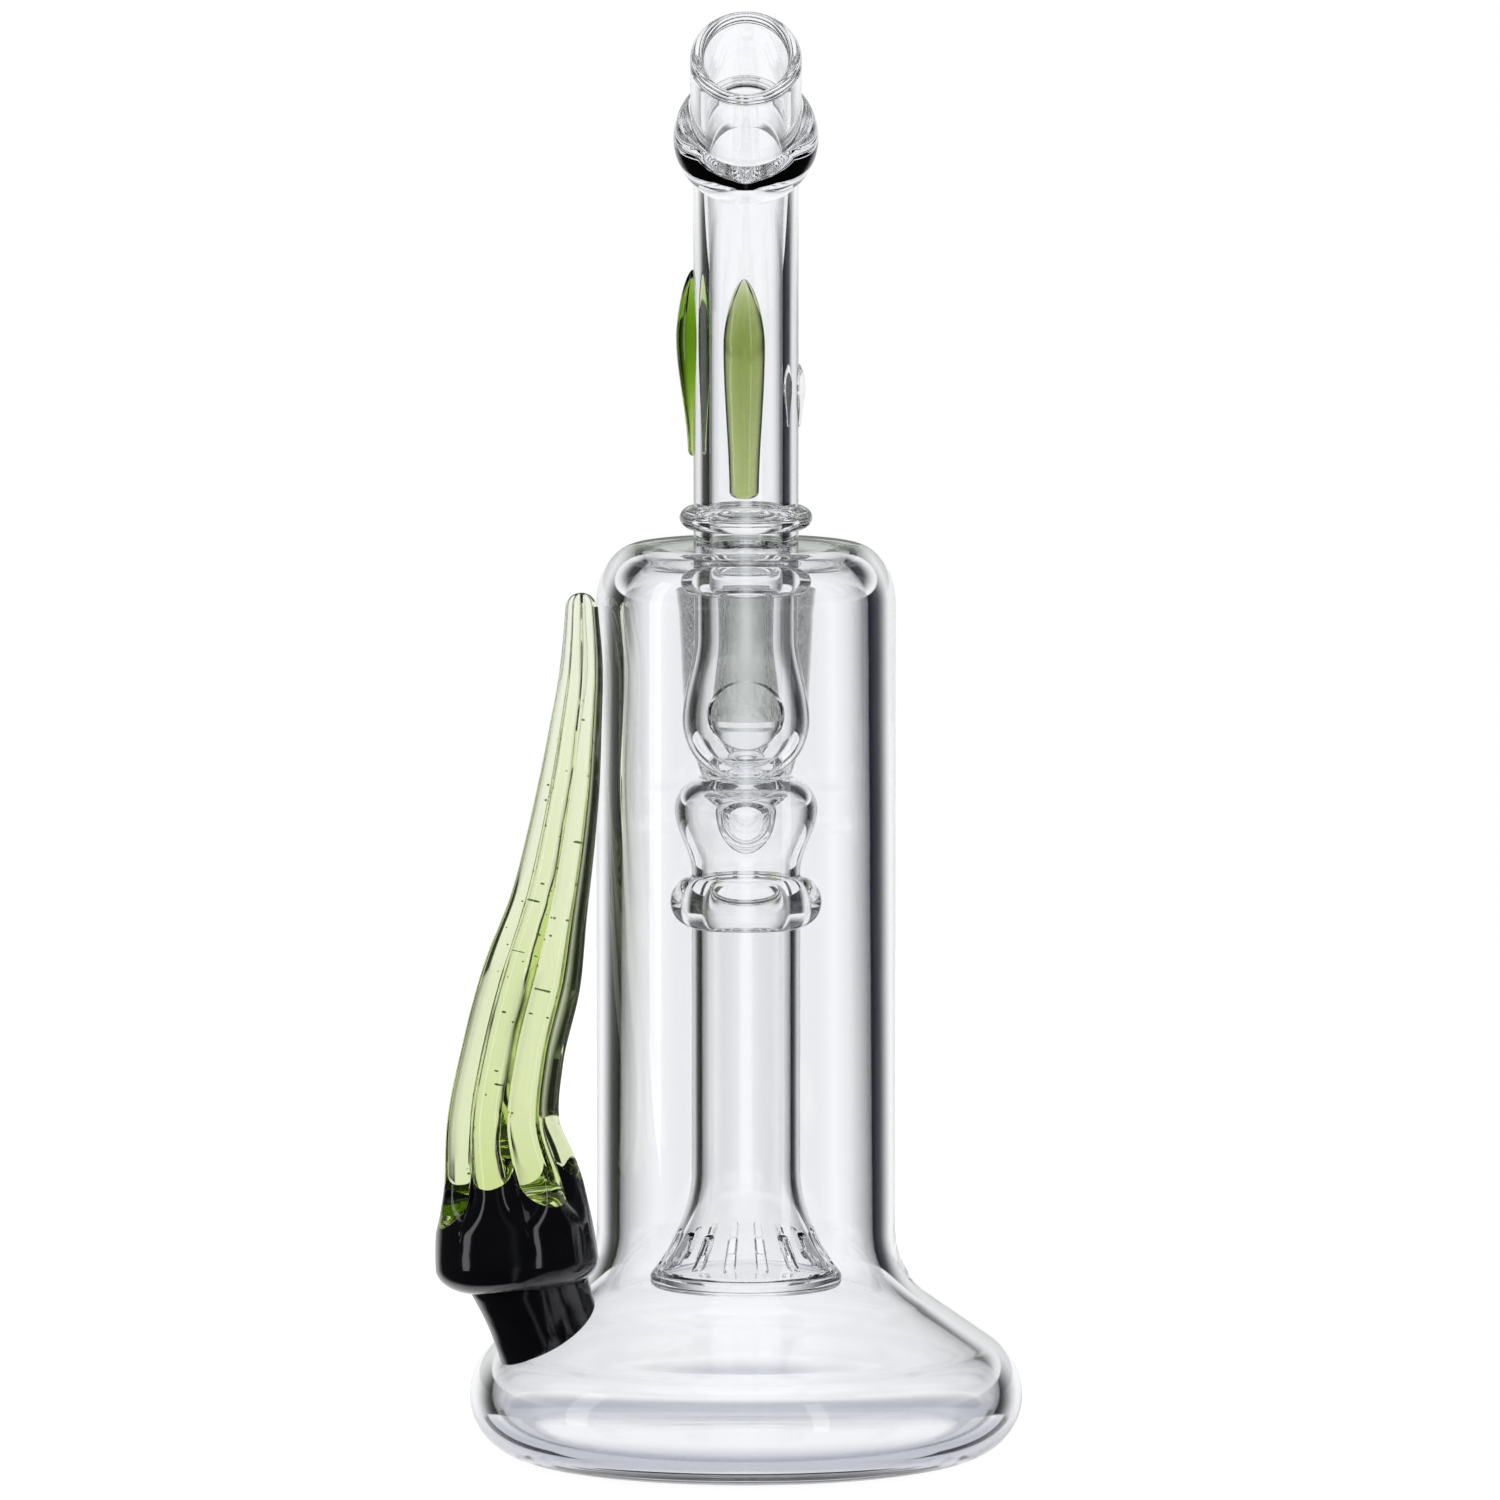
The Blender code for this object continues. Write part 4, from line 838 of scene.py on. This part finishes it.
# Horn: a solid yellow-green rod drawn to a tip, pressed into seven lobes and bent along the can.
# Its lobes end as round tongues over the black cuff.
# A station is a height, a radius, the gap to the can and the turn round the can in degrees.
HORN_STATIONS = np.array([
    (119.6, 2.35, 0.40, 14.5),
    (112.0, 3.05, 0.40, 19.6),
    (103.5, 3.75, 0.45, 18.6),
    (95.0, 4.45, 0.55, 16.8),
    (88.0, 4.95, 1.20, 17.0),
    (78.0, 5.75, 2.45, 17.5),
    (69.0, 7.10, 3.60, 18.9),
    (57.8, 7.40, 6.60, 20.4),
    (48.2, 8.20, 7.40, 21.4),
    (38.5, 10.3, 4.30, 23.2),
])
HORN_TOP = HORN_STATIONS[0, 0]
BASE_DEPTH = HORN_TOP - HORN_STATIONS[-1, 0]
CAP_HEIGHT = 37.5
CAP_MIDDLE = HORN_TOP - CAP_HEIGHT
TIP_LENGTH = 2.4
LOBES = 7
LOBE_ENDS = np.array([40.2, 36.8, 39.3, 38.0, 37.0, 38.5, 34.7])
TONGUE_LENGTH = 3.4
TONGUE_ROUND = 0.6
FLUTE_DEPTH = 0.21
FLUTE_END = 80.0
FLUTE_FADE = 6.0
AIM_STEP = 0.4
GROOVE_TURN = math.radians(-80)
HORN_SIDES = 168
CUFF_TILT = math.radians(4.3)
# The rod goes on below the horn as the cuff: a depth below the horn's base, and a radius.
CUFF_STEPS = np.array([(3.5, 10.85), (6.5, 11.2), (9.8, 11.4), (13.5, 11.4)])
HORN_TINT = (0.992, 0.996, 0.97)
# Painted shade: the horn's edge colour, where it is seen edge on, for its dark edge lines.
HORN_EDGE_SHADE = (0.80, 0.86, 0.62)
HORN_ABSORB = ((0.65, 0.786, 0.045), 57.0)
reach = CAN_RADIUS + HORN_STATIONS[:, 2] + HORN_STATIONS[:, 1]
station_turn = np.radians(HORN_STATIONS[:, 3])
horn_middle = np.stack([-reach * np.cos(station_turn), -reach * np.sin(station_turn),
                        HORN_STATIONS[:, 0]], axis=1)
cuff_down = np.array([math.sin(CUFF_TILT), -math.sin(CUFF_TILT), -math.cos(CUFF_TILT)])
horn_knots = np.concatenate([HORN_TOP - HORN_STATIONS[:, 0], BASE_DEPTH + CUFF_STEPS[:, 0]])
horn_places = np.vstack([horn_middle, horn_middle[-1] + CUFF_STEPS[:, :1] * cuff_down])
horn_radii = np.concatenate([HORN_STATIONS[:, 1], CUFF_STEPS[:, 1]])


def through_knots(values, at):
    """Smooth curve through stations: cubic Hermite pieces whose slopes come from the neighbours."""
    values = values if values.ndim > 1 else values[:, None]
    slopes = np.gradient(values, horn_knots, axis=0)
    left = np.clip(np.searchsorted(horn_knots, at) - 1, 0, len(horn_knots) - 2)
    width = (horn_knots[left + 1] - horn_knots[left])[..., None]
    t = (at - horn_knots[left])[..., None] / width
    start, end = values[left], values[left + 1]
    first = (2 * t ** 3 - 3 * t ** 2 + 1) * start + (t ** 3 - 2 * t ** 2 + t) * width * slopes[left]
    return first + (3 * t ** 2 - 2 * t ** 3) * end + (t ** 3 - t ** 2) * width * slopes[left + 1]


def about_horn(depth, share, turn):
    """Points of the lobed rod at a depth below the tip, with a groove between each two lobes.

    The formula is middle + share radius lobe(u) (cos u side + sin u back).
    """
    middle = through_knots(horn_places, depth)
    radius = through_knots(horn_radii, depth)[..., 0]
    ahead = through_knots(horn_places, np.maximum(depth - AIM_STEP, 0.0))
    behind = through_knots(horn_places, depth + AIM_STEP)
    up = ahead - behind
    up /= np.linalg.norm(up, axis=-1, keepdims=True)
    side = np.array([1.0, 0.0, 0.0]) - up[..., :1] * up
    side /= np.linalg.norm(side, axis=-1, keepdims=True)
    back = np.cross(up, side)
    fade = 1 - eased(0.0, 1.0, (depth - FLUTE_END) / FLUTE_FADE)
    groove = 1 - np.abs(np.sin(LOBES * (turn - GROOVE_TURN) / 2))
    lobe = 1 - FLUTE_DEPTH * fade * groove
    out = (share * radius * lobe)[..., None]
    return middle + out * (np.cos(turn)[..., None] * side + np.sin(turn)[..., None] * back)


horn_turn = np.linspace(0, 2 * np.pi, HORN_SIDES, endpoint=False)
lobe_place = (horn_turn - GROOVE_TURN) / (2 * np.pi) * LOBES
lobe_index = np.floor(lobe_place).astype(int)
lobe_share = lobe_place - lobe_index
lobe_end = LOBE_ENDS[(lobe_index + 1) % LOBES]
tongue = lobe_end + TONGUE_LENGTH * (1 - np.sin(np.pi * lobe_share) ** TONGUE_ROUND)
rim_depth = HORN_TOP - tongue


def horn_cap(shares, gap):
    """The face between horn and cuff: from its middle to the tongues by the share cubed, down by a gap."""
    shares = np.asarray(shares)[:, None]
    depth = CAP_MIDDLE + (rim_depth - CAP_MIDDLE) * shares ** 3 + gap
    return about_horn(depth, shares + 0 * depth, horn_turn + 0 * depth)


dome = np.linspace(np.pi / 2, 0, 14, endpoint=False)[:, None]
dome_share = np.cos(dome) + 0 * horn_turn
dome_grid = about_horn(np.zeros_like(dome_share), dome_share, horn_turn + 0 * dome_share)
tip_up = horn_middle[0] - horn_middle[1]
tip_up /= np.linalg.norm(tip_up)
dome_grid = dome_grid + (np.sin(dome) + 0 * horn_turn)[..., None] * TIP_LENGTH * tip_up
body_share = np.linspace(0, 1, 120)[:, None]
body_depth = body_share * rim_depth
body_grid = about_horn(body_depth, np.ones_like(body_depth), horn_turn + 0 * body_depth)
horn_grid = np.concatenate([dome_grid, body_grid, horn_cap(np.linspace(1, 0, 16)[1:], 0.0)])
horn = skin("lobed_horn", [horn_grid])
HORN_GREEN = glass("horn_green", HORN_TINT, HORN_EDGE_SHADE, GREEN_ROUGHNESS, HORN_ABSORB,
                   wave_scale=120.0, wave=0.04)
dress(horn, HORN_GREEN, "green_glass", "horn_body")

# Seeds: fine bubbles caught in the green glass of the horn while the rod was made.
# They are small balls of dark glass, painted shade for the dark look of the bubbles, scattered between the
# middle and the skin of the lobes.
SEEDS = 90
SEED_DEPTHS = (12.0, 78.0)
SEED_SHARES = (0.35, 0.86)
SEED_SIZES = (0.07, 0.18)
# Painted shade: the seeds' dark colour, and a darker one where they are seen edge on, in place of air
# bubbles.
SEED_PAINTED_SHADE = (0.20, 0.26, 0.06)
SEED_EDGE_SHADE = (0.05, 0.07, 0.02)
seed_draw = np.random.default_rng(7)
seed_depth = seed_draw.uniform(*SEED_DEPTHS, SEEDS)
seed_turn = seed_draw.uniform(0, 2 * np.pi, SEEDS)
seed_share = seed_draw.uniform(*SEED_SHARES, SEEDS)
seed_size = seed_draw.uniform(*SEED_SIZES, SEEDS)
seed_place = about_horn(seed_depth, seed_share, seed_turn)
ball = spun(arc((0.0, 0.0), 1.0, 1.0, 90, -90, 7), 10)
ball[0, :, :2] = 0.0
ball[-1, :, :2] = 0.0
seed_grids = [ball * size + place for size, place in zip(seed_size, seed_place)]
seeds = skin("horn_seeds", seed_grids)
SEED_DARK = glass("seed_dark", SEED_PAINTED_SHADE, SEED_EDGE_SHADE, 0.25)
dress(seeds, SEED_DARK, "green_glass")

# Cuff: opaque black rod melted on under the horn, with its upper edge let in between the green tongues.
# Below its belly it is rounded over to a narrow underside.
CUFF_LENGTH = 9.5
CUFF_BELLY = BASE_DEPTH + CUFF_LENGTH
CUFF_DROP = 4.0
CUFF_UNDER = 0.47
CUFF_GAP = 0.05
BLACK_IOR = 1.5
BLACK_CLOUD = 140.0
BLACK_DEEP = (0.0015, 0.0016, 0.0022)
BLACK_PALE = (0.008, 0.008, 0.010)
BLACK_GLOSS = (0.04, 0.14)
BLACK_WAVE = 0.08


def black_glass(name):
    """Opaque black glass: deep and glossy, with a faint cloud in its colour and its gloss."""
    material = bpy.data.materials.new(name)
    material.use_nodes = True
    nodes, links = material.node_tree.nodes, material.node_tree.links
    shader = nodes["Principled BSDF"]
    shader.inputs["IOR"].default_value = BLACK_IOR
    place = nodes.new("ShaderNodeTexCoord")
    cloud = nodes.new("ShaderNodeTexNoise")
    cloud.inputs["Scale"].default_value = BLACK_CLOUD
    links.new(place.outputs["Object"], cloud.inputs["Vector"])
    shade = nodes.new("ShaderNodeValToRGB")
    shade.color_ramp.elements[0].color = (*BLACK_DEEP, 1.0)
    shade.color_ramp.elements[1].color = (*BLACK_PALE, 1.0)
    links.new(cloud.outputs["Fac"], shade.inputs["Fac"])
    links.new(shade.outputs["Color"], shader.inputs["Base Color"])
    gloss = nodes.new("ShaderNodeMapRange")
    gloss.inputs["To Min"].default_value = BLACK_GLOSS[0]
    gloss.inputs["To Max"].default_value = BLACK_GLOSS[1]
    links.new(cloud.outputs["Fac"], gloss.inputs["Value"])
    links.new(gloss.outputs["Result"], shader.inputs["Roughness"])
    bump = nodes.new("ShaderNodeBump")
    bump.inputs["Strength"].default_value = BLACK_WAVE
    bump.inputs["Distance"].default_value = WAVE_DEPTH
    links.new(cloud.outputs["Fac"], bump.inputs["Height"])
    links.new(bump.outputs["Normal"], shader.inputs["Normal"])
    return material


BLACK = black_glass("black_rod")
cuff_share = np.linspace(0, 1, 40)[:, None]
cuff_depth = rim_depth + CUFF_GAP + (CUFF_BELLY - rim_depth - CUFF_GAP) * cuff_share
cuff_side = about_horn(cuff_depth, np.ones_like(cuff_depth), horn_turn + 0 * cuff_depth)
roll = np.linspace(0, np.pi / 2, 24)[1:, None]
roll_depth = CUFF_BELLY + CUFF_DROP * np.sin(roll) + 0 * horn_turn
roll_share = CUFF_UNDER + (1 - CUFF_UNDER) * np.cos(roll) + 0 * horn_turn
cuff_roll = about_horn(roll_depth, roll_share, horn_turn + 0 * roll_depth)
under_share = np.linspace(CUFF_UNDER, 0, 8)[1:, None] + 0 * horn_turn
under_depth = np.full_like(under_share, CUFF_BELLY + CUFF_DROP)
cuff_under = about_horn(under_depth, under_share, horn_turn + 0 * under_share)
cuff_top = horn_cap(np.linspace(0, 1, 16)[:-1], CUFF_GAP)
cuff = skin("black_cuff", [np.concatenate([cuff_top, cuff_side, cuff_roll, cuff_under])])
dress(cuff, BLACK, "black_glass", "horn_cuff")

# Root: the black rod that goes on under the cuff, drawn in a little below it.
# Its upper end follows the cuff's rolled underside, and its lower end is fused to the slope of the foot.
ROOT_SEAT_RADIUS = 30.25
ROOT_SEAT_TURN = math.radians(23.3)
ROOT_TOP_RADIUS = 8.4
ROOT_RADIUS = 7.6
ROOT_WAIST = 0.20
ROOT_FLARE_RISE = 2.8
ROOT_FLARE_BEND = 1.6
ROOT_SIDES = 96
SLOPE_FOOT = 4.0
HALVINGS = 40
cuff_foot = horn_middle[-1] + cuff_down * (CUFF_BELLY + CUFF_DROP - BASE_DEPTH)
slope = foot_outside[foot_outside[:, 1] > SLOPE_FOOT]


def foot_height(place):
    """Height of the foot's outer side, read from its profile at a point's distance from the axis."""
    return np.interp(np.hypot(place[..., 0], place[..., 1]), slope[:, 0], slope[:, 1])


def off_foot(place):
    """True where a point is clear of the foot."""
    return place[..., 2] > foot_height(place) + FUSED


def off_cuff(place):
    """True where a point is clear of the cuff: outside the ellipse of its rolled underside."""
    below = (place - cuff_foot) @ cuff_down
    out = np.linalg.norm(place - cuff_foot - below[..., None] * cuff_down, axis=-1)
    rolled = np.sqrt(1 - np.clip(1 + (below - FUSED) / CUFF_DROP, 0, 1) ** 2)
    return (below > FUSED) | (out > horn_radii[-1] * (CUFF_UNDER + (1 - CUFF_UNDER) * rolled))


seat_x = -ROOT_SEAT_RADIUS * math.cos(ROOT_SEAT_TURN)
seat_y = -ROOT_SEAT_RADIUS * math.sin(ROOT_SEAT_TURN)
root_seat = np.array([seat_x, seat_y, 0.0])
root_seat[2] = foot_height(root_seat)
root_head = np.array([(seat_x + cuff_foot[0]) / 2, (seat_y + cuff_foot[1]) / 2, cuff_foot[2]])
root_up = root_head - root_seat
root_length = np.linalg.norm(root_up)
root_up /= root_length
root_side = np.array([1.0, 0.0, 0.0]) - root_up[0] * root_up
root_side /= np.linalg.norm(root_side)
root_back = np.cross(root_up, root_side)
root_turn = np.linspace(0, 2 * np.pi, ROOT_SIDES, endpoint=False)


def about_root(height, share):
    """Points about the root's axis at a height above its seat; above the waist it widens as a power."""
    above = np.clip((height / (root_length + ROOT_FLARE_RISE) - ROOT_WAIST) / (1 - ROOT_WAIST), 0, 1)
    radius = ROOT_RADIUS + (ROOT_TOP_RADIUS - ROOT_RADIUS) * above ** ROOT_FLARE_BEND
    out = (share * radius)[..., None]
    spoke = np.cos(root_turn)[:, None] * root_side + np.sin(root_turn)[:, None] * root_back
    return root_seat + height[..., None] * root_up + out * spoke


def root_end(shares, free, fixed, clear_of):
    """Where lines beside the root's axis run into another piece, found by halving the way to it."""
    share = np.asarray(shares)[:, None] + 0 * root_turn
    free = np.full_like(share, free)
    fixed = np.full_like(share, fixed)
    for _ in range(HALVINGS):
        half = (free + fixed) / 2
        still_clear = clear_of(about_root(half, share))
        free = np.where(still_clear, half, free)
        fixed = np.where(still_clear, fixed, half)
    return about_root(free, share), free[-1]


mid_height = root_length / 2
end_shares = np.linspace(0, 1, 12)
top_grid, top_height = root_end(end_shares, mid_height, root_length + CUFF_DROP, off_cuff)
foot_grid, seat_height = root_end(end_shares, mid_height, -CUFF_DROP - ROOT_RADIUS, off_foot)
root_share = np.linspace(0, 1, 40)[1:-1, None]
root_heights = top_height * (1 - root_share) + seat_height * root_share
root_sides = about_root(root_heights, np.ones_like(root_heights))
root = skin("black_root", [np.concatenate([top_grid, root_sides, foot_grid[::-1]])])
dress(root, BLACK, "black_glass", "horn_root")
